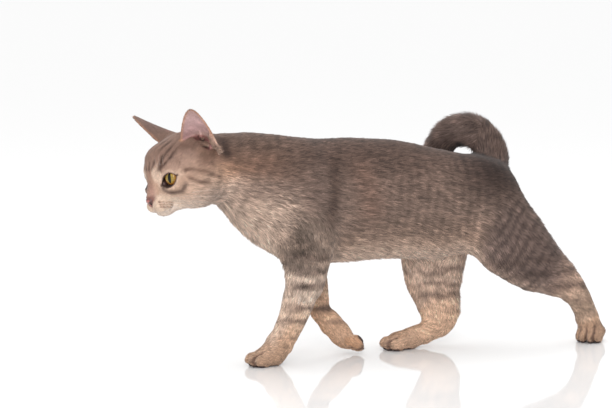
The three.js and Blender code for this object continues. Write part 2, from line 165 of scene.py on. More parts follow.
def slices(node, along, count):
    """The middles of a node's slices, in order along a direction."""
    p = points_of(node)
    p = p[np.argsort(p @ np.array(along, float))]
    cuts = np.array_split(p, count)
    return [(c.min(0) + c.max(0)) / 2 for c in cuts]


FLESH = [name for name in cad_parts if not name.startswith("eye")]

# The head's frame: +X to the nose, +Y to the cat's left, +Z up, from midway between the eyes.
HEAD_NOD, HEAD_ROLL = math.radians(18), math.radians(7)
HEAD_DROP = 2.0
EYE_NODE = np.array([-1.0, 20.5, 2.5])  # where the CAD model has the left eye
EYE_AT = np.array([-3.2, 20.5, 1.2])  # and where it shows, once the head is rolled
EYE_RADIUS = 10.4
HEAD_SIDE = unit(middle("eye_left") - middle("eye_right"))
LEVEL = np.cross(HEAD_SIDE, [0, 0, 1])
HEAD_FORWARD = LEVEL * math.cos(HEAD_NOD) - np.array([0, 0, math.sin(HEAD_NOD)])
HEAD_UP = np.cross(HEAD_FORWARD, HEAD_SIDE)
BUILT_AXES = np.array([HEAD_FORWARD, HEAD_SIDE, HEAD_UP])  # the CAD head has no roll
MID_EYES = (middle("eye_left") + middle("eye_right")) / 2
BUILT_ORIGIN = MID_EYES - np.array([EYE_NODE[0], 0, EYE_NODE[2]]) @ BUILT_AXES
ROLLED = [[1, 0, 0], [0, math.cos(HEAD_ROLL), math.sin(HEAD_ROLL)],
          [0, -math.sin(HEAD_ROLL), math.cos(HEAD_ROLL)]]
HEAD_AXES = np.array(ROLLED) @ BUILT_AXES
HEAD_ORIGIN = BUILT_ORIGIN - HEAD_DROP * HEAD_UP


def to_head(p):
    return (p - HEAD_ORIGIN) @ HEAD_AXES.T


def from_head(h):
    return np.asarray(h, float) @ HEAD_AXES + HEAD_ORIGIN


def as_built(h):
    """From the head's frame to that of the CAD head, which has no roll."""
    return h @ np.array(ROLLED) - [0, 0, HEAD_DROP]


# ---- The body's parts: a line through each one, from where its hair starts ----

DOWN = (0, 0, -1)


def limb(name):
    lean = (0.6, 0, -0.8) if name == "hind_left" else DOWN
    upper = slices(f"leg_{name}_upper", lean, 3)
    lower = slices(f"leg_{name}_lower", lean, 3)
    return [*upper, *lower, middle(f"paw_{name}")]


LEG_RADII = [34, 30, 25, 20, 16, 13.5, 13]
BACK_WAY = (1, 0, 0)
TRUNK_LINE = [
    *slices("trunk_chest", BACK_WAY, 3),
    *slices("trunk_waist", BACK_WAY, 2),
    *slices("trunk_hips", BACK_WAY, 3),
]
TAIL_LINE = [
    *slices("tail_base", (0, 0, 1), 3),
    *slices("tail_middle", (-0.5, 0.65, -0.55), 4),
    *slices("tail_end", DOWN, 3),
]
PARTS = {  # each one's line, and its radius at each place of it
    "head": ([from_head((14, 0, -8)), from_head((-45, 0, 4))], [22, 36]),
    "neck": (slices("neck", (1, 0, -0.2), 3), [34, 40, 48]),
    "trunk": (TRUNK_LINE, [58, 62, 60, 60, 58, 56, 50, 40]),
    "tail": (TAIL_LINE, [16] * 7 + [13, 11, 9]),
}
LEGS = ["fore_left", "fore_right", "hind_left", "hind_right"]
PARTS.update({name: (limb(name), LEG_RADII) for name in LEGS})
PART_NAMES = list(PARTS)
PART_SHARPNESS = 7  # how quickly one part's looks give way to its neighbour's


class Places:
    """Where points lie on the body: the weight of each part, and how far along each they are."""

    def __init__(self, p):
        self.p, self.h = p, to_head(p)
        self.along, self.share = {}, {}
        scores, tangents = [], []
        for name, (line, radii) in PARTS.items():
            best, along = np.full(len(p), np.inf), np.zeros(len(p))
            tangent = np.zeros((len(p), 3))
            start = 0.0
            for a, b, ra, rb in zip(line, line[1:], radii, radii[1:]):
                t, d = nearest(p, a, b)
                score = d / lerp(ra, rb, t)
                hit = score < best
                size = np.linalg.norm(b - a)
                best[hit] = score[hit]
                along[hit] = start + t[hit] * size
                tangent[hit] = (b - a) / size
                start += size
            self.along[name], self.share[name] = along, along / start
            scores.append(best)
            tangents.append(tangent)
        scores = np.array(scores)
        weight = np.exp(-PART_SHARPNESS * (scores - scores.min(0)))
        weight /= weight.sum(0)
        self.weight = dict(zip(PART_NAMES, weight))
        self.lie = np.einsum("pn,pnk->nk", weight, np.array(tangents))

    def main_part(self):
        """The place in PART_NAMES of the part each point belongs to most."""
        return np.argmax([self.weight[n] for n in PART_NAMES], axis=0)

    def leg_share(self):
        """How far down a leg each point is, and how much it belongs to any leg."""
        total = sum(self.weight[n] for n in LEGS)
        share = sum(self.weight[n] * self.share[n] for n in LEGS) / np.maximum(total, 1e-6)
        return total, share


COAT_DEPTH = {"head": 1.4, "neck": 3.6, "trunk": 2.4, "tail": 2.2}
LEG_DEPTHS = 2.0, 0.7  # at the top of a leg, and lower down


def coat_depth(places):
    """How far the skin lies inside the coat's tips."""
    on_leg, down = places.leg_share()
    total = sum(depth * places.weight[name] for name, depth in COAT_DEPTH.items())
    return total + lerp(*LEG_DEPTHS, ramp(down, 0.2, 0.7)) * on_leg


# ---- The body's field, from the CAD solids ----

VOXEL = 1.5
GAP = 0.3  # the cuts between the solids are closed by growing them this much
BAND = 12  # voxels of true distance to each side of the surface
BLOCK = 4  # voxels between the places where the coat's depth is worked out
FINE_BLUR, BROAD_BLUR = 2.4, 6.0  # the second is for the large forms
MARGIN = 12  # millimetres of room round the CAD's box
LOW = np.floor((np.array(CAD_BOX[0]) / MM - MARGIN) / VOXEL).astype(int)
HIGH = np.ceil((np.array(CAD_BOX[1]) / MM + MARGIN) / VOXEL).astype(int)
SHAPE = tuple(int(s) for s in (HIGH - LOW) // BLOCK * BLOCK + BLOCK + 1)


def solids_field():
    """The distance to the CAD's flesh, all its solids joined into one."""
    points, faces, count = [], [], 0
    for name in FLESH:
        points.append(points_of(name))
        faces.append(faces_of(name) + count)
        count += len(points[-1])
    grid = openvdb.createLinearTransform(voxelSize=VOXEL)
    make = openvdb.FloatGrid.createLevelSetFromPolygons
    points = np.concatenate(points).astype(np.float32)
    faces = np.concatenate(faces).astype(np.uint32)
    soup = make(points, triangles=faces, transform=grid, halfWidth=3)
    shell, quads = soup.convertToQuads(isovalue=GAP)
    whole = make(shell, quads=quads, transform=grid, halfWidth=BAND)
    values = np.zeros(SHAPE, np.float32)
    whole.copyToArray(values, ijk=tuple(int(i) for i in LOW))
    return values + GAP


def smoothed(values, sigma):
    """A Gaussian blur, with sigma in millimetres."""
    s = sigma / VOXEL
    reach = math.ceil(2.5 * s)
    taps = np.exp(-0.5 * (np.arange(-reach, reach + 1) / s) ** 2).astype(np.float32)
    taps /= taps.sum()
    for axis in range(3):
        pad = [(reach, reach) if k == axis else (0, 0) for k in range(3)]
        wide = np.pad(values, pad, mode="edge")
        values = np.zeros_like(values)
        for i, tap in enumerate(taps):
            cut = [slice(None)] * 3
            cut[axis] = slice(i, i + values.shape[axis])
            values += tap * wide[tuple(cut)]
    return values


def spread(coarse, shape):
    """A coarse array worked up to the full one, linearly between its places."""
    for axis in range(3):
        at = np.arange(shape[axis]) / BLOCK
        i = np.minimum(at.astype(int), coarse.shape[axis] - 2)
        f = (at - i).astype(np.float32).reshape([-1 if k == axis else 1 for k in range(3)])
        coarse = np.take(coarse, i, axis) * (1 - f) + np.take(coarse, i + 1, axis) * f
    return coarse


def body_array():
    """The field of the skin on the voxels: the flesh, smoothed, less the coat's depth."""
    raw = solids_field()
    marks = [np.arange(0, n, BLOCK) for n in SHAPE]
    corners = np.stack(np.meshgrid(*marks, indexing="ij"), -1).reshape(-1, 3)
    places = Places((corners + LOW) * VOXEL)
    shape = [len(m) for m in marks]
    depth = spread(coat_depth(places).astype(np.float32).reshape(shape), SHAPE)
    large = places.weight["trunk"] + 0.7 * places.weight["neck"]
    on_leg, down = places.leg_share()
    large += on_leg * (1 - ramp(down, 0.1, 0.4))
    large = spread(np.clip(large, 0, 1).astype(np.float32).reshape(shape), SHAPE)
    fine, broad = smoothed(raw, FINE_BLUR), smoothed(raw, BROAD_BLUR)
    return fine + (broad - fine) * large + depth


BODY_ARRAY = body_array()


def sample(values, p):
    """Linear interpolation of an array over the body's voxels."""
    q = np.clip(p / VOXEL - LOW, 0, np.array(SHAPE) - 1.001)
    cell = q.astype(int)
    f = (q - cell).astype(np.float32)
    total = 0
    for bit in CORNERS:
        i, j, k = (cell + bit).T
        total = total + np.prod(np.where(bit, f, 1 - f), axis=1) * values[i, j, k]
    return total


# ---- Head: the finer field, in the head's frame ----

FACE_COAT = 0.8
EYE_OUTWARD = math.radians(30)  # where the middle of the lids' opening faces
LID_SLANT = 0.27  # the outer corner is the higher
LID_IN, LID_OUT = 12.2, 8.6  # from the opening's middle to its corners
LID_TOP, LID_BOTTOM = 6.0, 5.8  # and to its edges
SIGHT_AXES = np.array([
    [math.cos(EYE_OUTWARD), math.sin(EYE_OUTWARD), 0],
    [-math.sin(EYE_OUTWARD), math.cos(EYE_OUTWARD), 0],
    [0, 0, 1],
])
EAR_WIDTH, EAR_THICKNESS, EAR_ROOT = 36.0, 2.6, 7.0
EAR_CUP, EAR_TIP_CUP = 1.25, 0.4  # half the angle its wall turns through, at its base and tip
EARS = {  # the middle of its base, its tip, and the way along its width
    "left": ((-36, 24, 19), (-29, 43, 64), (-0.75, 0.6, -0.3)),
    "right": ((-28, -26, 23), (-12, -50, 57), (-0.7, -0.45, -0.4)),
}


def mirrored(h):
    return np.column_stack([h[:, 0], np.abs(h[:, 1]), h[:, 2]])


def eye_places(p):
    """Across, up and forward from the line of sight, in the slanted frame of the lids."""
    q = (p - EYE_AT) @ SIGHT_AXES.T
    c, s = math.cos(LID_SLANT), math.sin(LID_SLANT)
    return q[:, 1] * c + q[:, 2] * s, q[:, 2] * c - q[:, 1] * s, q[:, 0]


def lid_edge(p):
    """The distance from the edge of the opening between the lids, negative inside it."""
    across, up, _ = eye_places(p)
    outer = np.clip(across / LID_OUT, 0, 1)
    inner = np.clip(-across / LID_IN, 0, 1)
    top = LID_TOP * (1 - outer**3) * (1 - inner**2.2)
    bottom = -LID_BOTTOM * (1 - outer**2.4) * (1 - inner**2.0)
    beyond = np.maximum(across - LID_OUT, -LID_IN - across)
    return np.maximum(np.maximum(up - top, bottom - up), beyond)


def ear_frame(side):
    """An ear's base and height, and the ways up it, along its width and out of its opening."""
    base, tip, along = (np.array(v, float) for v in EARS[side])
    height = np.linalg.norm(tip - base)
    rising = (tip - base) / height
    across = unit(along - along @ rising * rising)
    return base, height, rising, across, np.cross(across, rising) * np.sign(base[1])


def ear_curve(share):
    """How far an ear's wall turns and its radius, at a share of the way up."""
    half = EAR_WIDTH / 2 * np.sqrt(1 - share**2.6) * (1 - 0.38 * share) + 1
    bend = lerp(EAR_CUP, EAR_TIP_CUP, share)
    return bend, half / np.sin(bend)


def ear_places(h, side):
    """Rise, turn, and distances from the ear's wall and from its edge."""
    base, height, rising, across, opening = ear_frame(side)
    q = as_built(h) - base
    rise, a, o = q @ rising, q @ across, q @ opening
    share = np.clip(rise / height, 0, 1)
    bend, radius = ear_curve(share)
    down = radius * np.cos(bend) - o
    reach = np.hypot(a, down)
    turn = np.arctan2(a, down)
    return rise, share, turn / bend, reach - radius, (np.abs(turn) - bend) * radius


def ear_spot(side, share, turn, inward):
    """A place by an ear's wall, in the CAD head's frame: turn runs from -1 in front to 1 behind."""
    base, height, rising, across, opening = ear_frame(side)
    bend, radius = ear_curve(share)
    angle = turn * bend
    reach = radius - inward
    out = radius * math.cos(bend) - reach * math.cos(angle)
    return base + rising * share * height + (across * reach * math.sin(angle) + opening * out)


EAR_FOLDS = [  # the ridges inside an ear: places by its wall, and the thickness at each
    ([(0.40, 0.93, 0.8), (0.28, 0.84, 2.6), (0.14, 0.80, 3.4), (0.0, 0.82, 3.0)],
     [0.5, 1.3, 1.6, 1.4]),
    ([(0.02, -0.9, 1.5), (0.05, -0.35, 5.0), (0.02, 0.25, 6.5), (0.0, 0.6, 5.0)],
     [1.2, 1.9, 2.1, 1.8]),
    ([(0.34, 0.15, 0.6), (0.22, 0.1, 2.2), (0.12, 0.15, 3.4)], [0.5, 1.2, 1.2]),
]


def ear_field(h, side):
    """An ear: a curved wall with its folds, from its root to its tip."""
    built = as_built(h)
    rise, share, _, out, edge = ear_places(h, side)
    wall = EAR_THICKNESS * (1 - 0.3 * share) / 2 - 0.25
    sheet = soft_max(np.abs(out) - wall, edge + 0.4, 1.2)
    for spots, thick in EAR_FOLDS:
        line = [ear_spot(side, *spot) for spot in spots]
        for a, b, ra, rb in zip(line, line[1:], thick, thick[1:]):
            sheet = soft_min(sheet, rod(built, a, b, ra, rb), 1.6)
    return np.maximum(np.maximum(sheet, rise - ear_frame(side)[1]), -EAR_ROOT - rise)


def ear_canal(h, side):
    """The hollow at the foot of an ear's opening."""
    base, _, rising, across, opening = ear_frame(side)
    q = (as_built(h) - base) @ np.array([rising, across, opening]).T
    return egg(q, (3, 0, -3), (9, 11, 8))


NOSE_TOP, NOSE_BOTTOM = -11.0, -20.4
NOSTRIL = (25.2, 3.1, -16.4)


def nose_width(z):
    """Half the width of the nose's leather at each height."""
    return np.interp(z, [-20.6, -18.6, -15.2, -13.0, NOSE_TOP], [0.9, 3.0, 5.9, 5.4, 4.2])


def nostrils(p):
    pit = egg(p, NOSTRIL, (3.2, 1.5, 1.3))
    return soft_min(pit, rod(p, (24.5, 4.2, -15.8), (21.5, 6.4, -14.6), 0.8, 0.4), 1)


FACE_SHAPES = [  # an ellipsoid or a rod each, and the fillet that joins it to those before
    (egg, ((-8, 0, 11), (18, 25, 17)), 12),  # forehead
    (egg, ((-5, 0, 20), (14.5, 17, 13)), 8),
    (egg, ((-20, 21, -13), (24, 18, 20)), 12),  # cheek
    (rod, ((3.5, 0, 2), (18, 0, -13), 12, 7.4), 10),  # bridge of the nose
    (egg, ((5.5, 14, -12), (9.5, 8.5, 9)), 8),  # under the eye
    (egg, (EYE_AT, (13.8, 13.6, 13.2)), 5),  # lids
    (egg, ((8.5, 11.5, -3.5), (5.5, 4.5, 6)), 4),  # inner corner
    (egg, ((2.5, 23.5, -7), (9.5, 8.5, 8.5)), 6),  # cheekbone
    (rod, ((7, 10, 12), (-3, 27, 14), 3.8, 4.2), 6),  # brow
    (egg, ((-33, 23, 19), (15, 12, 12)), 10),  # root of the ear
]


def face_field(h):
    """The head's skin before the ears, with no opening cut."""
    p = mirrored(h)
    d = egg(p, (-28, 0, 8), (37, 34, 30.5))  # braincase
    for shape, sizes, fillet in FACE_SHAPES:
        d = soft_min(d, shape(p, *sizes), fillet)
    d = soft_min(d, rod(h, (-40, 1.5, -6.7), (-67, 2.7, -15), 30.7, 35.2), 12)  # neck
    pad = egg(p, (12.5, 6.8, -21), (11.5, 9.4, 8.5)) - 0.2
    upper = soft_min(d, pad, 4) + FACE_COAT
    chin = egg(p, (10.5, 0, -27.6), (9, 8.5, 6.8))
    jaw = rod(p, (4, 0, -24), (-22, 13, -20.5), 9.5, 14)
    lower = soft_min(chin, jaw, 6) + FACE_COAT
    return soft_min(upper, lower, lerp(1.0, 12, ramp(-p[:, 0], -6, 14)))


def nose_leather(h):
    """The bare skin of the nose: a little proud of the coat's skin, down to the lip."""
    p = mirrored(h)
    y, z = p[:, 1], p[:, 2]
    outline = np.maximum(np.maximum(y - nose_width(z), z - NOSE_TOP), NOSE_BOTTOM - z)
    swell = 0.5 + 0.9 * np.exp(-(((y - 4.6) / 1.6) ** 2) - ((z + 15.4) / 2.0) ** 2)
    d = soft_max(face_field(h) - swell, outline, 1.2)
    groove = np.exp(-((y / 0.45) ** 2)) * ramp(-z, 15, 18)
    return soft_max(np.maximum(d + 0.5 * groove, 12 - p[:, 0]), -nostrils(p), 0.5)


def head_field(h):
    """The head with its openings, but without ears."""
    p = mirrored(h)
    d = face_field(h)
    philtrum = np.exp(-((p[:, 1] / 0.8) ** 2)) * ramp(-p[:, 2], 19, 21) * ramp(p[:, 0], 14, 18)
    d = d + 0.9 * philtrum
    d = soft_max(d, -nostrils(p), 0.5)
    across, _, ahead = eye_places(p)
    shallow = -d - lerp(30, 1.5, ramp(-across, 6.5, 10))  # the inner corner is only a hollow
    d = soft_max(d, -np.maximum(lid_edge(p), np.maximum(2 - ahead, shallow)), 1.0)
    return np.maximum(d, EYE_RADIUS + 0.12 - np.linalg.norm(p - EYE_AT, axis=1))


SIGNS = {"left": 1, "right": -1}


def with_ears(d, h):
    for side, sign in SIGNS.items():
        near = (h[:, 1] * sign > 0) & (h[:, 2] > -5) & (h[:, 0] < 15)
        q = h[near]
        cut = soft_max(d[near], -ear_canal(q, side), 3)
        d[near] = soft_min(cut, ear_field(q, side), 3)
    return d


# ---- Paws: in each one's frame, +X to the toes and +Z up ----

PAW_COAT = 0.8
SOLIDS_ORIGIN = BUILT_ORIGIN - np.array([-260, -7, 196])  # where the CAD solids are measured from
PAWS = {  # the place and the ways forward and up, then the end of the leg as three balls
    "fore_left": (
        ((-150.5, -16, 0), (-1, 0.02, 0), (0, 0, 1)),
        [(-128, -26, 46, 14), (-137, -20, 25, 13), (-143, -17, 15, 12.5)],
    ),
    "fore_right": (
        ((-45, 12, 25), (0.8, -0.08, -0.6), (-0.6, 0, -0.8)),
        [(-75, 20, 48, 11.2), (-65, 15, 34, 10.7), (-56, 13, 26, 10.5)],
    ),
    "hind_left": (
        ((231, -23, 0), (-0.8, -0.6, 0), (0, 0, 1)),
        [(209, -30, 50, 12.7), (220, -26, 33, 12.2), (227, -24, 18, 12)],
    ),
    "hind_right": (
        ((19, 16, 0), (-1, 0.03, 0), (0, 0, 1)),
        [(71, 24, 31, 15.5), (54, 20, 17, 11.8), (34, 17, 12, 11.2)],
    ),
}
TOES = [((13.5, 4.6, 7.2), (9.0, 4.7, 7.2)), ((8.5, 10.6, 6.8), (9.0, 4.3, 6.8))]


def paw_places(p, name):
    at, forward, up = (np.array(v, float) for v in PAWS[name][0])
    f = unit(forward)
    s = unit(np.cross(up, f))
    return (p - SOLIDS_ORIGIN - at) @ np.array([f, s, np.cross(f, s)]).T


def toe_field(q):
    """The four toes, with true gaps between them."""
    p = mirrored(q)
    d = np.full(len(p), 1e3)
    for at, radii in TOES:
        knuckle = np.array(at) + (-8.5, -0.6, 4.6)
        toe = soft_min(egg(p, at, radii), egg(p, knuckle, (7.5, 4.3, 5.4)), 3)
        d = soft_min(d, toe, 0.6)
    return d


def pad_field(q):
    """The bare pads under the foot."""
    p = mirrored(q)
    d = egg(p, (-5.5, 0, 1.6), (6.5, 7.5, 2.4))
    for at, _ in TOES:
        d = np.minimum(d, egg(p, (at[0] + 1.5, at[1] - 0.2, 1.4), (4.0, 2.9, 2.0)))
    return d


def paw_field(p, name):
    q = paw_places(p, name)
    m = mirrored(q)
    palm = egg(m, (-2, 0, 9.5), (16, 12.5, 10.8))
    d = soft_min(palm, toe_field(q) - 0.2, 2.5)
    balls = [(np.array(b[:3]) + SOLIDS_ORIGIN, b[3]) for b in PAWS[name][1]]
    for (a, ra), (b, rb) in zip(balls, balls[1:]):
        d = soft_min(d, rod(p, a, b, ra, rb), 7)
    d = soft_min(d + PAW_COAT, pad_field(q), 0.5)
    return soft_max(d, 0.15 - q[:, 2], 0.8) if name != "fore_right" else d


# ---- Folds and muscles: shallow furrows and swells along lines, on both sides ----

# Each is a line, in the CAD solids' own measures with Y to the outside, its width and its depth.
FURROWS = {
    "behind the shoulder": ([(-84, 48, 205), (-80, 50, 165), (-82, 44, 118)], 9, 2.2),
    "shoulder to neck": ([(-150, 30, 205), (-140, 40, 165), (-128, 38, 125)], 10, 1.2),
    "flank fold": ([(52, 48, 108), (70, 46, 135), (82, 44, 165)], 9, 2.0),
    "loin": ([(30, 36, 205), (75, 34, 200)], 14, 1.0),
    "under the ribs": ([(10, 46, 125), (55, 46, 118)], 12, 1.2),
    "thigh muscle": ([(105, 44, 165), (125, 46, 130), (140, 46, 100)], 8, 1.2),
}
SWELLS = {
    "shoulder blade": ([(-112, 22, 222), (-118, 40, 180)], 13, 1.8),
    "upper arm": ([(-122, 44, 150), (-104, 46, 120)], 12, 1.6),
    "ribs": ([(-60, 48, 165), (0, 50, 160)], 26, 1.0),
    "haunch": ([(100, 38, 175), (88, 46, 145)], 16, 1.6),
    "front of the arm": ([(-146, 38, 118), (-150, 36, 100)], 12, 2.4),
    "elbow": ([(-100, 45, 112), (-101, 40, 76)], 9, 2.0),
    "groin": ([(56, 46, 112), (75, 48, 105), (98, 46, 95)], 13, 3.6),
    "under the thigh": ([(98, 46, 88), (135, 44, 70)], 11, 1.6),
    "spine": ([(-50, 0, 214), (20, 0, 212)], 30, 1.2),
}
BODY_MIDDLE = np.array([0, -13.6, 0])
WRINKLE_LINE, WRINKLE_REACH = [(-130, 45, 168), (-112, 49, 118)], 18
WRINKLE_EVERY, WRINKLE_DEPTH = 8.5, 1.6


def wrinkles(p):
    """The loose skin's fine folds across the upper arm: 1 in each fold."""
    m = mirrored(p - BODY_MIDDLE)
    wave = m[:, 2] + 0.2 * m[:, 0] + 3.2 * noise(p, (15, 15, 15), 15)
    folds = np.sin(2 * math.pi * wave / WRINKLE_EVERY) ** 2
    return stroke(m, WRINKLE_LINE, WRINKLE_REACH) * folds


def relief(p):
    """How deep the furrows and the wrinkles are, less the height of the swells."""
    q = mirrored(p - SOLIDS_ORIGIN)
    total = np.zeros(len(p))
    for line, width, depth in FURROWS.values():
        total += depth * stroke(q, line, width)
    for line, width, height in SWELLS.values():
        total -= height * stroke(q, line, width)
    return total + WRINKLE_DEPTH * wrinkles(p)


HEAD_FROM, HEAD_WHOLE = -52, -36  # where the head's own field takes over from the body's
EARS_FROM = -78
PAW_FROM, PAW_WHOLE = 38, 27  # and a paw's, measured from its middle


def skin_field(p):
    """The distance to the cat's skin, negative inside."""
    d = sample(BODY_ARRAY, p) + relief(p)
    h = to_head(p)
    near = h[:, 0] > HEAD_FROM
    share = ramp(h[near, 0], HEAD_FROM, HEAD_WHOLE)
    d[near] = lerp(d[near], head_field(h[near]), share)
    near = h[:, 0] > EARS_FROM
    d[near] = with_ears(d[near], h[near])
    for name in PAWS:
        far = np.linalg.norm(paw_places(p, name), axis=1)
        near = far < PAW_FROM
        d[near] = lerp(d[near], paw_field(p[near], name), ramp(-far[near], -PAW_FROM, -PAW_WHOLE))
    return d


# ---- The skin's mesh ----

FINE = VOXEL / 2
ADAPTIVITY = 0.22
ROUGH_REACH, FINE_REACH = 10, 1.7  # how near the surface the true field is worked out
CUT_OFF = 3.0


def field_on_grid():
    """The skin's field on a fine grid, true near the surface and only its sign elsewhere."""
    rough = BODY_ARRAY.copy()
    inside = np.indices(SHAPE).reshape(3, -1).T[(np.abs(rough) < ROUGH_REACH).ravel()]
    rough[tuple(inside.T)] = skin_field((inside + LOW) * VOXEL)
    near = inside[np.abs(rough[tuple(inside.T)]) < FINE_REACH]
    fine = rough.repeat(2, 0).repeat(2, 1).repeat(2, 2)
    for bit in CORNERS:
        at = near * 2 + bit
        fine[tuple(at.T)] = skin_field(at * FINE + LOW * VOXEL)
    return np.clip(fine, -CUT_OFF, CUT_OFF)


def gradient(p, field, step=0.3):
    moves = np.eye(3) * step
    return np.stack([(field(p + m) - field(p - m)) / (2 * step) for m in moves], 1)


def settled(p, field, times=2, most=0.6):
    """Points moved onto a field's surface."""
    for _ in range(times):
        slope = gradient(p, field)
        move = -field(p)[:, None] * slope / np.maximum((slope**2).sum(1), 0.25)[:, None]
        size = np.linalg.norm(move, axis=1, keepdims=True)
        p = p + move * np.minimum(1, most / np.maximum(size, 1e-9))
    return p


def polygons(values, low, voxel, adaptivity):
    """The points, triangles and quads of a field's surface."""
    grid = openvdb.FloatGrid(CUT_OFF)
    grid.copyFromArray(values)
    grid.transform = openvdb.createLinearTransform(voxelSize=voxel)
    points, triangles, quads = grid.convertToPolygons(isovalue=0, adaptivity=adaptivity)
    return points.astype(float) + low, triangles, quads


def linked(name, data):
    made = bpy.data.objects.new(name, data)
    bpy.context.scene.collection.objects.link(made)
    return made


def mesh_from(name, points, faces):
    """A mesh object, in metres, from points in millimetres and lists of faces."""
    mesh = bpy.data.meshes.new(name)
    mesh.vertices.add(len(points))
    mesh.vertices.foreach_set("co", (np.asarray(points) * MM).astype(np.float32).ravel())
    sizes = np.concatenate([np.full(len(f), f.shape[1]) for f in faces if len(f)])
    corners = np.concatenate([np.asarray(f).ravel() for f in faces if len(f)])
    mesh.loops.add(len(corners))
    mesh.loops.foreach_set("vertex_index", corners.astype(np.int32))
    mesh.polygons.add(len(sizes))
    mesh.polygons.foreach_set("loop_start", (np.cumsum(sizes) - sizes).astype(np.int32))
    mesh.polygons.foreach_set("use_smooth", np.ones(len(sizes), bool))
    mesh.update(calc_edges=True)
    return linked(name, mesh)


# ---- What the marks and the hair need to know of each place ----


def only(hit, measure, p, otherwise):
    """A measure of the points that are hit, and a plain value for the rest."""
    values = np.full(len(p), float(otherwise))
    values[hit] = measure(p[hit])
    return values


FAR = 99  # a distance that stands for being nowhere near
EYE_REACH, PAW_REACH = 24, 40


class Spots(Places):
    """Places with the skin's normals, and what marks and hair both need to know of each."""

    def __init__(self, p, normals):
        super().__init__(p)
        self.n = normals
        self.m, self.m_body = mirrored(self.h), mirrored(p - BODY_MIDDLE)
        self.inward = normals[:, 1] * np.where(p[:, 1] > -14, -1, 1)
        self.face = ramp(self.h[:, 0], -76, -34)
        self.find_ears()
        near = np.linalg.norm(self.m - EYE_AT, axis=1) < EYE_REACH
        edge = only(near, lid_edge, self.m, FAR)
        ahead = only(near, lambda m: eye_places(m)[2], self.m, 0)
        self.lid = np.where(ahead > 2, edge, FAR)
        self.leather = only(self.h[:, 0] > 12, nose_leather, self.h, FAR)
        self.find_paws()

    def find_ears(self):
        """How much each point belongs to the free part of an ear, and where it lies on it."""
        count = len(self.h)
        self.ear, self.ear_in = np.zeros(count), np.zeros(count)
        self.ear_up, self.ear_rim = np.zeros(count), np.zeros(count)
        self.ear_way = np.zeros((count, 3))
        x, y, z = self.h.T
        for side, sign in SIGNS.items():
            at = np.flatnonzero((y * sign > 5) & (z > 3) & (np.abs(x + 35) < 45))
            if not len(at):
                continue
            rise, share, turn, out, edge = ear_places(self.h[at], side)
            away = np.hypot(np.maximum(np.abs(out) - 1.2, 0), np.clip(edge, 0, None))
            on = ramp(-away, -4, -1) * ramp(rise, -1, 6)
            better = on > self.ear[at]
            at, on = at[better], on[better]
            inside = (out[better] < 0) & (np.abs(turn[better]) < 1)
            self.ear[at], self.ear_in[at] = on, inside * ramp(on, 0.2, 0.8)
            self.ear_up[at] = share[better]
            self.ear_rim[at] = np.exp(-((np.minimum(edge[better], 0) / 2.0) ** 2))
            self.ear_way[at] = ear_frame(side)[2]
        canal = [np.abs(ear_canal(self.h, side)) for side in EARS]
        self.canal = ramp(-np.min(canal, axis=0), -2.4, -0.9) * (1 - self.ear_rim)

    def find_paws(self):
        """The distance from the pads, what is paw, the gaps between toes, and the way ahead."""
        count = len(self.p)
        self.pad, self.paw = np.full(count, float(FAR)), np.zeros(count)
        self.toe_gap = np.zeros(count)
        self.paw_ahead = np.zeros((count, 3))
        for name in PAWS:
            q = paw_places(self.p, name)
            far = np.linalg.norm(q, axis=1)
            near = far < PAW_REACH
            q = q[near]
            self.pad[near] = pad_field(q)
            self.paw[near] = ramp(-far[near], -32, -22)
            y = np.abs(q[:, 1])
            # where the toes meet, for the painted shade between them
            gaps = np.exp(-((y / 0.9) ** 2)) + np.exp(-(((y - 7.9) / 0.9) ** 2))
            self.toe_gap[near] = gaps * ramp(q[:, 0], 4, 9)
            self.paw_ahead[near] = unit(np.array(PAWS[name][0][1], float))

    def bare(self):
        """1 where no hair grows."""
        lids = ramp(-self.lid, -1.0, -0.3)
        leather = ramp(-self.leather, -1.2, -0.4)
        pads = ramp(-self.pad, -0.9, -0.3)
        return np.clip(np.maximum.reduce([lids, leather, pads, self.canal]), 0, 1)


NOSE = np.array([23.0, 0, -13])


def hair_way(s):
    """The way the hair lies along the skin: back over the body, and away from the nose."""
    w = s.weight
    flow = s.lie.copy()
    side = 1 - np.abs(s.n[:, 2])
    flow[:, 2] -= 0.16 * w["trunk"] * side
    flow[:, 2] -= 0.35 * w["neck"] * side
    flow[:, 0] += 0.3 * w["neck"]
    face = unit(s.m - NOSE)
    face[:, 1] *= np.sign(s.h[:, 1])
    face[:, 2] -= 0.35 * ramp(-s.h[:, 2], -2, 14) * ramp(-s.h[:, 0], -8, 10)
    head, ear, paw = (w["head"] * s.face)[:, None], s.ear[:, None], s.paw[:, None]
    flow = unit(flow) * (1 - head) + unit(face) @ HEAD_AXES * head
    flow = flow * (1 - ear) + (s.ear_way @ BUILT_AXES) * ear
    flow = flow * (1 - 0.7 * paw) + s.paw_ahead * 0.7 * paw
    swirl = np.column_stack([noise(s.p, (16, 16, 16), 21 + k) for k in range(3)])
    flow = unit(flow) + 0.16 * swirl
    flow -= (flow * s.n).sum(1, keepdims=True) * s.n
    return unit(flow)


# ---- Markings ----


def graded(t, stops):
    """Colours worked out between the stops, each a place along t and its colour."""
    at = [stop[0] for stop in stops]
    return np.column_stack([np.interp(t, at, [stop[1][k] for stop in stops]) for k in range(3)])


def tint(colour, other, share):
    share = np.clip(share, 0, 1)[:, None]
    return colour * (1 - share) + np.array(other, float) * share


def draw(colour, p, marks):
    """Soft lines on a colour: each mark is a line, its width, its colour and its strength."""
    for line, width, other, strength in marks:
        colour = tint(colour, other, strength * stroke(p, line, width))
    return colour


# Colours are sRGB, 0 to 255. Lines on the head are in its frame, the others in the row's, mirrored.
BACK, FLANK, LOW_FLANK, BELLY = (92, 74, 66), (124, 104, 93), (150, 126, 111), (192, 166, 149)
CREAM, CHEEK, TAN, ORANGE = (206, 180, 162), (198, 168, 148), (190, 156, 131), (204, 160, 128)

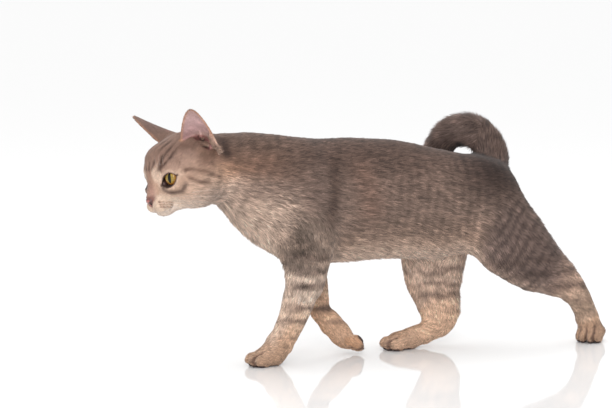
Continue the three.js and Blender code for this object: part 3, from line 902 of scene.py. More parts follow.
M_LINES = [
    [(13, 2.5, 13), (9, 4, 20), (0, 5.5, 30), (-14, 5, 37)],
    [(11.5, 7.5, 13), (8.5, 10, 19), (-1, 12, 29), (-16, 12, 36)],
    [(9.5, 14.5, 12), (6, 17, 18), (-5, 19, 27), (-18, 18, 34)],
    [(5, 21, 14), (-2, 24, 21), (-14, 24, 28)],
]
CHEEK_LINES = [
    [(-9, 33, 4.5), (-14.7, 33.9, 3.6), (-23, 36.6, -1.7), (-32.1, 36.8, -8.4),
     (-41.4, 33.3, -13.9)],
    [(-9.4, 34.6, -2.8), (-14.8, 37.5, -9.2), (-24.9, 37.9, -13.1)],
]
FACE_MARKS = [  # under the eye, then light and dark over its inner corner
    ([(12.1, 17.2, -5.7), (8.9, 27, -11.4), (1.9, 30.1, -13.2), (-3.3, 33.3, -7.9)], 2.6,
     (98, 78, 69), 0.85),
    ([(9.3, 14.3, 15.6), (10.6, 13.1, 7.6)], 2.0, (200, 172, 154), 0.6),
    ([(2.7, 17.4, 23.5), (6.9, 17.9, 16.7), (9, 17, 11)], 1.3, (78, 58, 50), 0.8),
]
EYE_LINES = [
    ([(8, 19, 14), (4, 22, 17)], 1.3, (70, 50, 43), 0.8),
    ([(11.5, 9.5, -4), (15, 8, -10)], 1.6, (128, 92, 74), 0.6),
]
MUZZLE_LINES = [  # the mouth, and the edge above the nose
    ([(19, 0.5, -23.5), (15.5, 5, -26.5), (9, 10.5, -27.5), (2, 15.5, -25.5)], 1.0,
     (86, 58, 50), 0.75),
    ([(25, 0, -12.5), (23.5, 4, -12), (21, 7, -12)], 2.0, (84, 56, 50), 0.8),
]
FACE_PATCHES = [  # an ellipsoid, how far its edge fades, its colour and its strength
    ((12, 9, -22), (13, 13, 10), 6, (214, 190, 170), 0.9),
    ((8, 0, -31), (14, 12, 9), 5, (216, 197, 183), 0.9),
    ((19, 0, -8), (9, 5, 9), 4, (158, 122, 110), 0.75),
    ((9, 0, 6), (12, 6, 10), 5, (146, 114, 98), 0.6),
    ((11.5, 11.5, 7.5), (6, 5, 5.5), 3, (214, 190, 170), 0.75),
]
WHISKER_ROWS = [
    ((18.7, 12.3, -16.8), (8.0, 15.2, -21.3)),
    ((19.2, 13.5, -19.3), (8.0, 14.2, -23.5)),
    ((19.6, 13.2, -21.6), (10.0, 13.4, -25.6)),
]
EAR_DARK_AND_SHADOW = [  # a darker patch in front of the ear's foot, and painted shadow behind the ear
    ([(-17.8, 25.7, 27.1), (-24, 32, 23)], 3.5, (96, 70, 60), 0.6),
    # painted shadow on the neck behind the ear
    ([(-63, 19, 18), (-59.7, 26.5, 10.3), (-59.4, 29, 3.9)], 6, (62, 46, 40), 0.85),
]
SHOULDER_MARKS = [
    ([(-98, 43, 190), (-88, 47, 168)], 20, (112, 94, 86), 0.6),
    ([(-42, 42, 195), (-36, 49, 160)], 14, (134, 103, 89), 0.45),
]
NECK_MARKS = [([(-192, 36, 205), (-168, 42, 200)], 10, ORANGE, 0.5)]
# painted shade in the furrow behind the upper arm
SHADE_BEHIND_ARM = [(-72, 32.6, 209), (-75.4, 44.6, 185), (-79.8, 49, 160), (-85.2, 51, 130)]
LEG_BARS = {  # the height, half the width and the strength of each dark bar
    "fore_left": [(116, 3, 0.5), (101, 3.5, 0.7), (86, 4, 0.85), (63, 3.2, 0.8), (49, 3, 0.7),
                  (30, 2.5, 0.35)],
    "fore_right": [(95, 4, 0.5), (79, 4, 0.5), (53, 4, 0.85), (38, 3, 0.4)],
    "hind_right": [(84, 4, 0.6), (70, 3, 0.7), (58, 4.5, 0.7), (42, 3, 0.3)],
    "hind_left": [(96, 3.5, 0.6), (82, 3.5, 0.65), (67, 4.5, 0.8), (48, 3, 0.4)],
}


def trunk_colour(s):
    x, _, z = s.p.T
    wave = z + 7 * noise(s.p, (26, 26, 20), 31)
    stops = [(100, BELLY), (120, LOW_FLANK), (150, FLANK), (185, (117, 97, 87)), (214, BACK)]
    c = graded(wave, stops)
    c = tint(c, BELLY, ramp(-s.n[:, 2], 0.35, 0.9) * ramp(-z, -145, -125))
    c = tint(c, (54, 42, 38), 0.85 * ramp(x, 55, 110) * ramp(z, 140, 195))
    c = draw(c, s.m_body, SHOULDER_MARKS)
    chest = ramp(-x, 95, 135) * ramp(-z, -190, -160)
    return tint(c, CREAM, 0.85 * chest * ramp(-s.n[:, 0], -0.35, 0.35))


def neck_colour(s):
    x, _, z = s.p.T
    stops = [(146, (228, 203, 186)), (164, (200, 170, 150)), (178, (128, 98, 82))]
    c = tint(graded(z + 0.15 * x, stops), (104, 84, 74), ramp(s.n[:, 2], 0.1, 0.8))
    c = draw(c, s.m_body, NECK_MARKS)
    throat = ramp(-s.n[:, 2] - 0.6 * s.n[:, 0], -0.1, 0.6)
    return tint(c, CREAM, 0.9 * throat)


LEG_TONES = {  # the colours at its top, down from its middle and at its paw, and where they turn
    "fore_left": ((146, 126, 113), (226, 202, 184), TAN, 0.16),
    "fore_right": ((146, 126, 113), (226, 202, 184), ORANGE, 0.16),
    "hind_left": ((110, 92, 85), (190, 160, 140), TAN, 0.45),
    "hind_right": ((208, 180, 162), (190, 160, 140), TAN, 0.3),
}
FINE_BARS = {"fore_left": 0.2, "fore_right": 0.2, "hind_left": 0.34, "hind_right": 0.15}


def leg_colour(s, name):
    x, _, z = s.p.T
    share = s.share[name]
    high = ramp(-share, -0.52, -0.3)
    front = ramp(-s.n[:, 0], 0.2, 0.8)
    top, middle_tone, paw, turn = LEG_TONES[name]
    c = graded(share, [(turn - 0.06, top), (turn + 0.2, middle_tone), (0.8, paw)])
    c = tint(c, CREAM, 0.5 * (ramp(s.inward, -0.1, 0.7) * ramp(share, 0.05, 0.4)))
    if name == "fore_left":
        c = tint(c, CREAM, 0.75 * front * ramp(share, 0.15, 0.4) * (1 - 0.7 * s.paw))
    if name == "hind_left":
        c = tint(c, (146, 127, 113), 0.6 * ramp(share, 0.6, 0.75) * ramp(-share, -0.95, -0.9))
    if name.endswith("right"):
        c = tint(c, ORANGE, 0.35 * ramp(share, 0.3, 0.6))
    wobble = 3.4 * noise(s.p, (14, 14, 14), 33)
    patchy = 0.75 + 0.35 * noise(s.p, (9, 9, 9), 35)
    dark = np.zeros(len(s.p))
    for height, half, strength in LEG_BARS[name]:
        dark = np.maximum(dark, strength * np.exp(-(((z + wobble - height) / half) ** 2)))
    c = tint(c, (86, 70, 63), dark * patchy * (1 - 0.5 * front))
    c = tint(c, BELLY, 0.6 * (ramp(-s.n[:, 2], 0.1, 0.7) * high))
    run = 0.8 * x - 0.6 * z if name == "hind_left" else s.along[name]
    bars = 0.5 + 0.5 * np.sin(2 * math.pi * (run + 1.1 * wobble) / 11)
    if name.startswith("fore"):
        return c * (1 - FINE_BARS[name] * high * bars**2)[:, None]
    return c * (1.03 - FINE_BARS[name] * high * bars**1.3 * patchy)[:, None]


def tail_colour(s):
    stops = [(0, (94, 77, 70)), (0.5, (112, 94, 87)), (0.85, (98, 80, 74)), (1, (66, 54, 50))]
    rings = np.sin(2 * math.pi * (s.along["tail"] + 3 * noise(s.p, (12, 12, 12), 41)) / 19)
    return graded(s.share["tail"], stops) * (1 + 0.09 * rings)[:, None]


def face_colour(s):
    m = s.m
    x, y, z = m.T
    stops = [(-34, (214, 194, 180)), (-16, CHEEK), (-2, (184, 152, 132)), (10, (170, 140, 124)),
             (24, (136, 109, 96))]
    c = tint(graded(z, stops), (126, 98, 84), ramp(-x, 18, 34) * ramp(z, -4, 8))
    for at, radii, fade, tone, strength in FACE_PATCHES:
        c = tint(c, tone, strength * ramp(egg(m, at, radii), fade, 0))
    c = tint(c, (204, 178, 158), 0.6 * np.exp(-(((s.lid - 2.4) / 1.4) ** 2)))
    c = draw(c, m, FACE_MARKS)
    patchy = 0.8 + 0.35 * noise(s.p, (5, 5, 5), 45)
    for line in M_LINES:
        c = tint(c, (66, 49, 43), 0.95 * patchy * stroke(m, line, 1.5))
    for line in CHEEK_LINES:
        c = tint(c, (84, 60, 50), 0.95 * patchy * stroke(m, line, 1.9))
    c = draw(c, m, EYE_LINES)
    squeeze = np.array([1, 0.25, 1])  # the rows follow the muzzle in and out
    flat = m * squeeze
    outside = ramp(y, 7, 10)
    for a, b in WHISKER_ROWS * squeeze:
        c = tint(c, (150, 112, 94), 0.4 * stroke(flat, [a, b], 0.7) * outside)
        for spot in np.linspace(a, b, 5):
            near = np.linalg.norm(flat - spot, axis=1)
            c = tint(c, (104, 74, 60), 0.8 * np.exp(-((near / 0.8) ** 2)) * outside)
    c = draw(c, m, MUZZLE_LINES)
    c = tint(c, (120, 76, 66), np.exp(-(np.maximum(s.leather, 0) ** 2)))
    c = tint(c, (62, 44, 38), 0.95 * ramp(-s.lid, -1.5, -0.6))
    return tint(c, (84, 60, 58), ramp(-s.lid, 0.2, 1.0))


def ear_colour(s):
    outer = [(0, (118, 92, 79)), (0.5, (110, 88, 80)), (1, (122, 98, 88))]
    inner = [(0, (176, 138, 128)), (0.16, (170, 128, 124)), (0.32, (178, 142, 140)),
             (0.7, (184, 152, 150)), (1, (170, 140, 134))]
    blotch = 1 + 0.07 * noise(s.p, (5, 5, 7), 61)
    low = ramp(-s.ear_up, -0.45, -0.15) * ramp(-s.h[:, 0], 30, 42)
    inside = tint(graded(s.ear_up, inner) * blotch[:, None], (208, 178, 164), 0.8 * low)
    c = lerp(graded(s.ear_up, outer), inside, s.ear_in[:, None])
    c = tint(c, (172, 128, 102), 0.8 * s.ear_rim)
    return tint(c, (206, 174, 158), 0.75 * s.ear_rim * low)


def pattern(s):
    """How much the ticking, the columns on the flank and the collar lighten the coat."""
    w = s.weight
    x, y, z = s.p.T
    lean = np.column_stack([x, y, z + 0.25 * x + 1.6 * noise(s.p, (9, 9, 30), 50)])
    streaks = noise(lean, (6, 2.2, 1.5), 51) + 0.45 * noise(lean, (13, 5, 3.6), 52)
    columns = np.sin(2 * math.pi * (x - 0.12 * z) / 10.6 + 2.2 * noise(s.p, (24, 24, 34), 53))
    columns *= 0.75 + 0.35 * noise(s.p, (18, 18, 12), 54)
    columns *= ramp(x, -35, 5) * ramp(-z, -214, -196)
    collar = np.sin(2 * math.pi * (x - 0.5 * z) / 14 + 1.6 * noise(s.p, (20, 20, 24), 56))
    collar *= w["neck"] * (0.8 + 0.4 * noise(s.p, (14, 14, 14), 57))
    body = (1 - w["head"]) * (1 - s.paw)
    return 0.19 * body * streaks + 0.12 * w["trunk"] * columns + 0.1 * collar


def coat_colour(s):
    """The coat's colour at each place, with its markings, as 0 to 255."""
    w = s.weight
    neck = neck_colour(s)
    c = trunk_colour(s) * w["trunk"][:, None] + neck * w["neck"][:, None]
    c = c + tail_colour(s) * w["tail"][:, None]
    for name in LEGS:
        c = c + leg_colour(s, name) * w[name][:, None]
    c = c + lerp(neck, face_colour(s), s.face[:, None]) * w["head"][:, None]
    # painted shadow behind each ear, and a darker patch in front of its foot
    c = draw(c, s.m, EAR_DARK_AND_SHADOW)
    # painted shade behind the upper arm
    c = tint(c, (74, 58, 51), 0.6 * w["trunk"] * stroke(s.m_body, SHADE_BEHIND_ARM, 7))
    c = lerp(c, ear_colour(s), s.ear[:, None])
    c = tint(c, (150, 104, 98), s.canal)
    shade = 1 + pattern(s)
    shade *= 1 + 0.06 * noise(s.p, (1.6, 1.6, 1.6), 55)
    # painted shade in the folds of the loose skin on the upper arm, and the paws a little darker
    shade *= (1.05 - 0.34 * wrinkles(s.p)) * (1 - 0.08 * s.paw)
    # painted shade in the gaps between the toes
    c = tint(c * shade[:, None], (66, 46, 40), 0.55 * s.toe_gap * s.paw)
    return np.clip(tint(c, (62, 46, 44), ramp(-s.pad, -1.0, 0.0)), 8, 245)


def linear(colour):
    v = np.clip(colour, 0, 255) / 255
    return np.where(v <= 0.04045, v / 12.92, ((v + 0.055) / 1.055) ** 2.4)


# ---- Materials ----


class Nodes:
    """A material's node tree, built up by name."""

    def __init__(self, name):
        self.material = bpy.data.materials.new(name)
        self.material.use_nodes = True
        self.tree = self.material.node_tree
        self.tree.nodes.clear()
        self.output = self.tree.nodes.new("ShaderNodeOutputMaterial")

    def add(self, kind, inputs=None, **settings):
        node = self.tree.nodes.new("ShaderNode" + kind)
        for key, value in settings.items():
            setattr(node, key, value)
        for key, value in (inputs or {}).items():
            if isinstance(value, bpy.types.NodeSocket):
                self.tree.links.new(value, node.inputs[key])
            else:
                node.inputs[key].default_value = value
        return node

    def marks(self):
        """The colour painted at each point."""
        return self.add("Attribute", attribute_name="Marks").outputs["Color"]

    def texture(self, kind, inputs, **settings):
        place = self.add("TexCoord").outputs["Object"]
        return self.add(kind, {"Vector": place, **inputs}, **settings).outputs[0]

    def bump(self, height, strength, distance):
        inputs = {"Height": height, "Strength": strength, "Distance": distance}
        return self.add("Bump", inputs).outputs[0]

    def finish(self, shader):
        self.tree.links.new(shader.outputs[0], self.output.inputs[0])
        return self.material

    def principled(self, inputs):
        return self.finish(self.add("BsdfPrincipled", inputs))


def hair_material(name, roughness, sheen, bump, scale):
    """Coloured by the piece's own markings, with the fine grain of single hairs."""
    t = Nodes(name)
    grain = t.texture("TexNoise", {"Scale": scale, "Detail": 3.0, "Roughness": 0.7})
    shade = t.add("MapRange", {"Value": grain, "From Min": 0.3, "From Max": 0.7,
                               "To Min": 0.86, "To Max": 1.12})
    scaled = t.add("VectorMath", {0: t.marks(), 1: shade.outputs[0]}, operation="MULTIPLY")
    return t.principled({
        "Base Color": scaled.outputs[0], "Roughness": roughness, "Sheen Weight": sheen,
        "Sheen Roughness": 0.5, "Specular IOR Level": 0.25, "Normal": t.bump(grain, bump, 0.0004),
    })


def skin_material():
    """Under the coat: the same markings, smoother where the skin is bare."""
    t = Nodes("cat_skin")
    bare = t.add("Attribute", attribute_name="Bare").outputs["Fac"]
    grain = t.texture("TexNoise", {"Scale": 1400.0, "Detail": 3.0})
    rough = t.add("MapRange", {"Value": bare, "To Min": 0.7, "To Max": 0.42})
    return t.principled({
        "Base Color": t.marks(), "Roughness": rough.outputs[0], "Specular IOR Level": 0.35,
        "Normal": t.bump(grain, 0.35, 0.0003),
    })


def leather_material():
    """The nose: moist, and cobbled as fine as a cat's."""
    t = Nodes("nose_leather")
    cells = t.texture("TexVoronoi", {"Scale": 1500.0}, feature="F1")
    return t.principled({
        "Base Color": t.marks(), "Roughness": 0.38, "Subsurface Weight": 0.1,
        "Subsurface Radius": (0.002, 0.001, 0.0006), "Normal": t.bump(cells, 0.5, 0.0002),
    })


def eye_material():
    t = Nodes("cat_eye")
    return t.principled({
        "Base Color": t.marks(), "Roughness": 0.28, "Coat Weight": 0.7,
        "Coat Roughness": 0.02, "Coat IOR": 1.33, "Specular IOR Level": 0.1,
    })


def whisker_material():
    t = Nodes("whisker")
    colour = t.add("ValToRGB", {"Fac": t.texture("TexNoise", {"Scale": 300.0})})
    colour.color_ramp.elements[0].color = (0.72, 0.66, 0.6, 1)
    colour.color_ramp.elements[1].color = (0.9, 0.87, 0.83, 1)
    return t.principled({"Base Color": colour.outputs[0], "Roughness": 0.35})


def paint(made, name, values):
    """An attribute at each point: three or four columns are a colour, one a number."""
    if values.ndim == 1:
        made.data.attributes.new(name, "FLOAT", "POINT").data.foreach_set(
            "value", values.astype(np.float32))
        return
    rgba = np.ones((len(values), 4), np.float32)
    rgba[:, :3] = values
    made.data.color_attributes.new(name, "FLOAT_COLOR", "POINT").data.foreach_set(
        "color", rgba.ravel())


def install(made, material, slot, *nodes):
    made.data.materials.append(material)
    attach(made, BODY)
    if nodes:
        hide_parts(*nodes)
    return made


# ---- Skin ----


def outward(points, triangles, quads):
    """The same faces, turned to face out of the closed mesh."""
    tris = np.concatenate([triangles, quads[:, :3], quads[:, [0, 2, 3]]]).astype(np.int64)
    a, b, c = points[tris].transpose(1, 0, 2)
    if (np.cross(a, b) * c).sum() < 0:
        triangles, quads, tris = triangles[:, ::-1], quads[:, ::-1], tris[:, ::-1]
    return triangles, quads, tris


SKIN_TONE = 0.9  # the skin is a little darker than the hair over it


def build_skin():
    points, triangles, quads = polygons(field_on_grid(), LOW * VOXEL, FINE, ADAPTIVITY)
    points = settled(points, skin_field)
    triangles, quads, tris = outward(points, triangles, quads)
    normals = unit(gradient(points, skin_field))
    spots = Spots(points, normals)
    made = mesh_from("skin", points, [triangles, quads])
    paint(made, "Marks", linear(coat_colour(spots) * SKIN_TONE))
    paint(made, "Bare", spots.bare())
    install(made, skin_material(), "coat", *FLESH_NODES)
    return points, tris, normals


FLESH_NODES = [name for name in FLESH if name != "nose"]
skin_points, skin_faces, skin_normals = build_skin()


# ---- Where each piece of the skin lies on one flat map ----


TILE_MARGIN = 16


class Unwrap:
    """Each part of the body seen along its six ways, the views packed side by side on one map."""

    def __init__(self):
        self.tiles = {}
        boxes = []
        for part, (line, radii) in PARTS.items():
            reach = max(radii) + TILE_MARGIN
            low = np.min(line, axis=0) - reach
            high = np.max(line, axis=0) + reach
            size = high - low
            for side in range(6):
                axes = [k for k in range(3) if k != side // 2]
                boxes.append((part, side, low[axes], size[axes]))
        boxes.sort(key=lambda b: -b[3][1])
        across, up, row = 0.0, 0.0, 0.0
        width = 1.05 * math.sqrt(sum(b[3][0] * b[3][1] for b in boxes))
        for part, side, low, size in boxes:
            if across + size[0] > width:
                across, up, row = 0.0, up + row, 0.0
            self.tiles[part, side] = np.array([across, up]) - low
            across, row = across + size[0], max(row, size[1])
        self.scale = 0.98 / max(width, up + row)

    def __call__(self, spots):
        part = spots.main_part()
        axis = np.argmax(np.abs(spots.n), axis=1)
        side = axis * 2 + (spots.n[np.arange(len(axis)), axis] > 0)
        uv = np.zeros((len(part), 2))
        for (name, k), shift in self.tiles.items():
            hit = (part == PART_NAMES.index(name)) & (side == k)
            flat = spots.p[hit][:, [a for a in range(3) if a != k // 2]]
            uv[hit] = (flat + shift) * self.scale + 0.01
        return uv


unwrap = Unwrap()


# ---- Coat ----

LIMIT = 48000  # tufts in one piece
random = np.random.default_rng(7)
GROWTH = {  # tufts to a square millimetre, and each one's length, width and lift
    "head": (3.4, 3.7, 0.46, 0.20),
    "trunk": (1.38, 7.0, 0.64, 0.24),
    "neck": (1.75, 6.2, 0.56, 0.26),
    "tail": (1.5, 10.5, 0.64, 0.46),
}
EAR_BACK_FOOT = [(-44, 26, 18), (-55, 28, 13)]


def growth(s):
    """Tufts to a square millimetre, and each one's length, width and lift."""
    w = s.weight
    head = w["head"] * s.face
    shares = {"head": head, "trunk": w["trunk"] + w["head"] * (1 - s.face),
              "neck": w["neck"], "tail": w["tail"]}
    on_leg, down = s.leg_share()
    leg = [lerp(1.45, 2.2, ramp(down, 0.2, 0.75)), lerp(6.5, 4.0, ramp(down, 0.15, 0.75)),
           lerp(0.62, 0.5, down), 0.2]
    density, length, width, lift = (
        sum(shares[name] * values[k] for name, values in GROWTH.items()) + on_leg * leg[k]
        for k in range(4)
    )

    # The face: short on the muzzle and round the eyes, and longer on the cheek.
    muzzle = ramp(egg(s.m, (14, 6, -16), (14, 12, 14)), 12, 0) * head
    length *= 1 - 0.45 * muzzle
    width *= 1 - 0.15 * muzzle
    cheek = ramp(egg(s.m, (-30, 28, -16), (16, 16, 14)), 10, 0) * head
    length *= 1 + 0.6 * cheek
    lids = np.exp(-((np.maximum(s.lid, 0) / 5) ** 2))
    length *= 1 - 0.6 * lids
    density *= 1 + 0.4 * lids

    length = lerp(length, 3.0, 0.9 * s.paw)
    width = lerp(width, 0.5, 0.8 * s.paw)
    density = lerp(density, 2.7, s.paw)

    # The ears: short all over, nearly bare inside, with long hairs low in the opening.
    tufted = s.ear_in * ramp(-s.ear_up, -0.42, -0.12)
    length = lerp(length, 2.3, ramp(s.ear, 0, 0.4)) * (1 + 0.9 * tufted)
    length *= 1 - 0.5 * stroke(s.m, EAR_BACK_FOOT, 9)
    low_ear = s.ear * ramp(-s.ear_up, -0.35, -0.1) * ramp(-s.h[:, 0], 40, 48)
    length *= 1 - 0.45 * low_ear
    width = lerp(width, 0.45, s.ear)
    inside = s.ear_in * (1 - 0.7 * s.ear_rim) * (1 - 0.5 * tufted)
    density = lerp(density, 3.8, s.ear) * (1 - 0.95 * inside)

    # Looser under the belly and down the back of the thighs.
    belly = ramp(-s.n[:, 2], 0.2, 0.8) * (w["trunk"] + 0.6 * w["neck"])
    breech = w["hind_left"] * ramp(s.n[:, 0], 0.2, 0.7) * ramp(s.p[:, 2], 60, 90)
    breech = breech + w["hind_right"] * ramp(s.n[:, 0], 0.3, 0.8) * ramp(s.p[:, 2], 25, 45)
    length *= 1 + 0.6 * belly + 0.7 * breech
    lift = lerp(lift, 0.11, s.ear) + 0.16 * belly + 0.3 * breech
    lift = lift + 0.1 * tufted * (1 - low_ear)
    return density * (1 - s.bare()), length, width, lift


def scatter():
    """The roots of all the tufts, spread over the skin as thickly as they grow."""
    a, b, c = skin_points[skin_faces].transpose(1, 0, 2)
    area = np.linalg.norm(np.cross(b - a, c - a), axis=1) / 2
    corner_density = growth(Spots(skin_points, skin_normals))[0]
    density = corner_density[skin_faces].mean(1)
    whole = area * density
    count = int(whole.sum())
    edges = np.concatenate([[0], np.cumsum(whole)])
    ticks = (np.arange(count) + random.random(count)) * edges[-1] / count
    face = np.clip(np.searchsorted(edges, ticks) - 1, 0, len(whole) - 1)
    u, v = random.random((2, count))
    flip = u + v > 1
    u, v = np.where(flip, 1 - u, u), np.where(flip, 1 - v, v)
    share = np.stack([1 - u - v, u, v], 1)[:, :, None]
    roots = (skin_points[skin_faces[face]] * share).sum(1)
    normals = unit((skin_normals[skin_faces[face]] * share).sum(1))
    return roots, normals


TUFT_FACES = np.array([[0, 1, 2], [3, 0, 2], [1, 3, 2], [1, 0, 3]])  # left, right, ridge, tip
TUFT_SHADES = np.array([0.80, 0.80, 1.0, 1.14])  # dark at the root and light at the tip
TUFT_PATCH = np.array([[-0.5, -0.5], [0.5, -0.5], [0, 0], [0, 0.5]]) * 0.003
ROOT_DEPTH, FLOOR_GAP = 0.3, 0.12
RIDGE_AT = 0.36  # how far along a tuft it is thickest


def tuft_mesh(name, s, hairs, keep):
    """Solid tufts: a flat wedge each, its tip lifted off the skin."""
    root, normal = s.p[keep], s.n[keep]
    way, length, width, lift, colour, patch = (values[keep] for values in hairs)
    length, width, lift = length[:, None], width[:, None], lift[:, None]
    side = np.cross(normal, way)
    left = root + side * width / 2 - normal * ROOT_DEPTH
    right = root - side * width / 2 - normal * ROOT_DEPTH
    rise = RIDGE_AT * length * np.sin(lift) + 0.34 * width
    ridge = root + way * length * RIDGE_AT + normal * rise
    tip = root + way * length * np.cos(lift) + normal * length * np.sin(lift) * 0.8
    points = np.stack([left, right, ridge, tip], 1).reshape(-1, 3)
    points[:, 2] = np.maximum(points[:, 2], FLOOR_GAP)
    faces = (np.arange(len(root))[:, None, None] * 4 + TUFT_FACES).reshape(-1, 3)
    made = mesh_from(name, points, [faces])
    paint(made, "Marks", (colour[:, None, :] * TUFT_SHADES[None, :, None]).reshape(-1, 3))
    own = np.stack([side - way * 0.2, -side - way * 0.2, normal, normal * 0.8 + way * 0.3], 1)
    soft = unit(normal[:, None, :] * 0.8 + unit(own) * 0.32)
    made.data.normals_split_custom_set_from_vertices(soft.reshape(-1, 3))
    uv = (patch[:, None, :] + TUFT_PATCH).reshape(-1, 2)
    layer = made.data.uv_layers.new(name="OFBake")
    layer.data.foreach_set("uv", uv[faces.ravel()].astype(np.float32).ravel())
    return made


HAIR = {  # each slot's roughness and sheen, and its grain's depth and scale
    "coat": hair_material("coat", 0.62, 0.12, 0.25, 1200.0),
    "coat_face": hair_material("coat_face", 0.62, 0.12, 0.2, 1600.0),
    "coat_legs": hair_material("coat_legs", 0.62, 0.12, 0.2, 1500.0),
    "coat_tail": hair_material("coat_tail", 0.66, 0.15, 0.3, 1100.0),
    "ear": hair_material("coat_ear", 0.6, 0.1, 0.2, 1600.0),
}


SLOTS = {"head": "coat_face", "ears": "ear", "tail": "coat_tail"}
SLOTS.update(dict.fromkeys(LEGS, "coat_legs"))


def varied(s):
    """Each tuft's way, length, width and lift, no two quite alike."""
    way = hair_way(s)
    _, length, width, lift = growth(s)
    count = len(s.p)
    length = length * random.uniform(0.75, 1.2, count)
    width = width * random.uniform(0.8, 1.25, count)
    lift = lift * random.uniform(0.6, 1.35, count) + 0.05 * noise(s.p, (3.5, 3.5, 3.5), 61)
    turn = random.normal(0, 0.10, count)[:, None]
    way = unit(way * np.cos(turn) + np.cross(s.n, way) * np.sin(turn))
    return way, length, width, lift


def hair_colour(s):
    """The coat's colour on each tuft, with some hairs darker and some lighter."""
    count = len(s.p)
    body = 1 - s.weight["head"]
    ticking = random.normal(0, 1, count)
    tone = coat_colour(s) * (1 + (0.05 + 0.05 * body) * ticking)[:, None]
    dark = random.random(count) < 0.10 * body
    light = random.random(count) > 1 - 0.08 * body
    return linear(tone * np.where(dark, 0.68, np.where(light, 1.2, 1.0))[:, None])


def build_coat():
    """The tufts, as pieces for each part of the body."""
    s = Spots(*scatter())
    hairs = [*varied(s), hair_colour(s), unwrap(s)]
    region = np.array(PART_NAMES)[s.main_part()]
    region = np.where((region == "head") & (s.face < 0.5), "neck", region)
    region = np.where(s.ear > 0.5, "ears", region)
    for name in sorted(set(region)):
        inside = np.flatnonzero(region == name)
        inside = inside[np.argsort(s.p[inside, 0], kind="stable")]
        pieces = max(1, math.ceil(len(inside) / LIMIT))
        slot = SLOTS.get(name, "coat")
        for k, keep in enumerate(np.array_split(inside, pieces)):
            title = f"coat_{name}" + (f"_{k + 1}" if pieces > 1 else "")
            install(tuft_mesh(title, s, hairs, keep), HAIR[slot], slot)
    print("tufts", len(s.p))


build_coat()


# ---- Nose, eyes, whiskers ----


NOSE_LOW, NOSE_VOXEL, NOSE_SHAPE = np.array([11.0, -10.0, -25.0]), 0.3, (54, 67, 57)


def build_nose():
    grid = np.indices(NOSE_SHAPE).reshape(3, -1).T * NOSE_VOXEL + NOSE_LOW
    values = nose_leather(grid).reshape(NOSE_SHAPE).astype(np.float32)
    points, triangles, quads = polygons(values, NOSE_LOW, NOSE_VOXEL, 0.0)
    points = settled(points, nose_leather, 1, 0.2)
    triangles, quads, _ = outward(points, triangles, quads)
    m = mirrored(points)
    c = np.tile(np.array([158.0, 92, 84]), (len(m), 1))
    c = tint(c, (140, 72, 66), ramp(-m[:, 2], 15, 20))
    rim = np.minimum(nose_width(m[:, 2]) - m[:, 1], NOSE_TOP - m[:, 2])
    c = tint(c, (74, 46, 42), np.exp(-((np.maximum(rim, 0) / 1.2) ** 2)))
    c = tint(c, (84, 54, 50), 0.85 * ramp(m[:, 1], 3.0, 4.6))
    # near black in the nostrils' pits: painted shade for their depth
    c = tint(c, (40, 22, 20), ramp(-egg(m, NOSTRIL, (3.2, 1.9, 1.7)), -0.8, 0.2))
    c *= (1 + 0.08 * noise(points, (0.8, 0.8, 0.8), 71))[:, None]
    made = mesh_from("nose_skin", from_head(points), [triangles, quads])
    paint(made, "Marks", linear(c))
    return install(made, leather_material(), "nose_leather", "nose")


GAZE = {"left": (32, 10), "right": (26, 7)}  # degrees outward and up
PUPIL_TILT = -10
EYE_RINGS, EYE_SPOKES = 90, 128


def gaze_axes(outward, upward):
    """Forward, across and up for an eye that looks that way, its pupil kept nearly upright."""
    o, e, tilt = math.radians(outward), math.radians(upward), math.radians(PUPIL_TILT)
    forward = np.array([math.cos(o) * math.cos(e), math.sin(o) * math.cos(e), math.sin(e)])
    across = np.array([-math.sin(o), math.cos(o), 0])
    up = np.cross(forward, across)
    return np.array([
        forward,
        across * math.cos(tilt) + up * math.sin(tilt),
        up * math.cos(tilt) - across * math.sin(tilt),
    ])


def loops(rows, around):
    """The four-sided faces between rings of points, each with as many around."""
    k = np.arange(around)
    row = np.arange(rows - 1)[:, None] * around
    a, b = row + k, row + (k + 1) % around
    return np.stack([a, b, b + around, a + around], -1).reshape(-1, 4)


def fan(centre, start, around):
    """The three-sided faces from one point to the ring that begins at another."""
    k = np.arange(around)
    return np.stack([np.full(around, centre), start + k, start + (k + 1) % around], 1)


def globe():
    """An eyeball that looks along +X, with a bulging cornea: its points and its faces."""
    angle = np.linspace(0, math.pi, EYE_RINGS + 1)[1:-1]
    turn = np.arange(EYE_SPOKES) * 2 * math.pi / EYE_SPOKES
    bulge = 0.7 * np.exp(-((angle / 0.6) ** 4))
    radius = EYE_RADIUS + bulge
    across = (radius * np.sin(angle))[:, None]
    ring = np.stack([
        np.repeat(radius * np.cos(angle), EYE_SPOKES),
        (across * np.cos(turn)).ravel(),
        (across * np.sin(turn)).ravel(),
    ], 1)
    points = np.vstack([[EYE_RADIUS + bulge[0], 0, 0], ring, [-EYE_RADIUS, 0, 0]])
    top = fan(0, 1, EYE_SPOKES)
    end = fan(len(points) - 1, 1 + (EYE_RINGS - 2) * EYE_SPOKES, EYE_SPOKES)[:, [0, 2, 1]]
    return points, [top, loops(EYE_RINGS - 1, EYE_SPOKES)[:, [0, 3, 2, 1]] + 1, end]


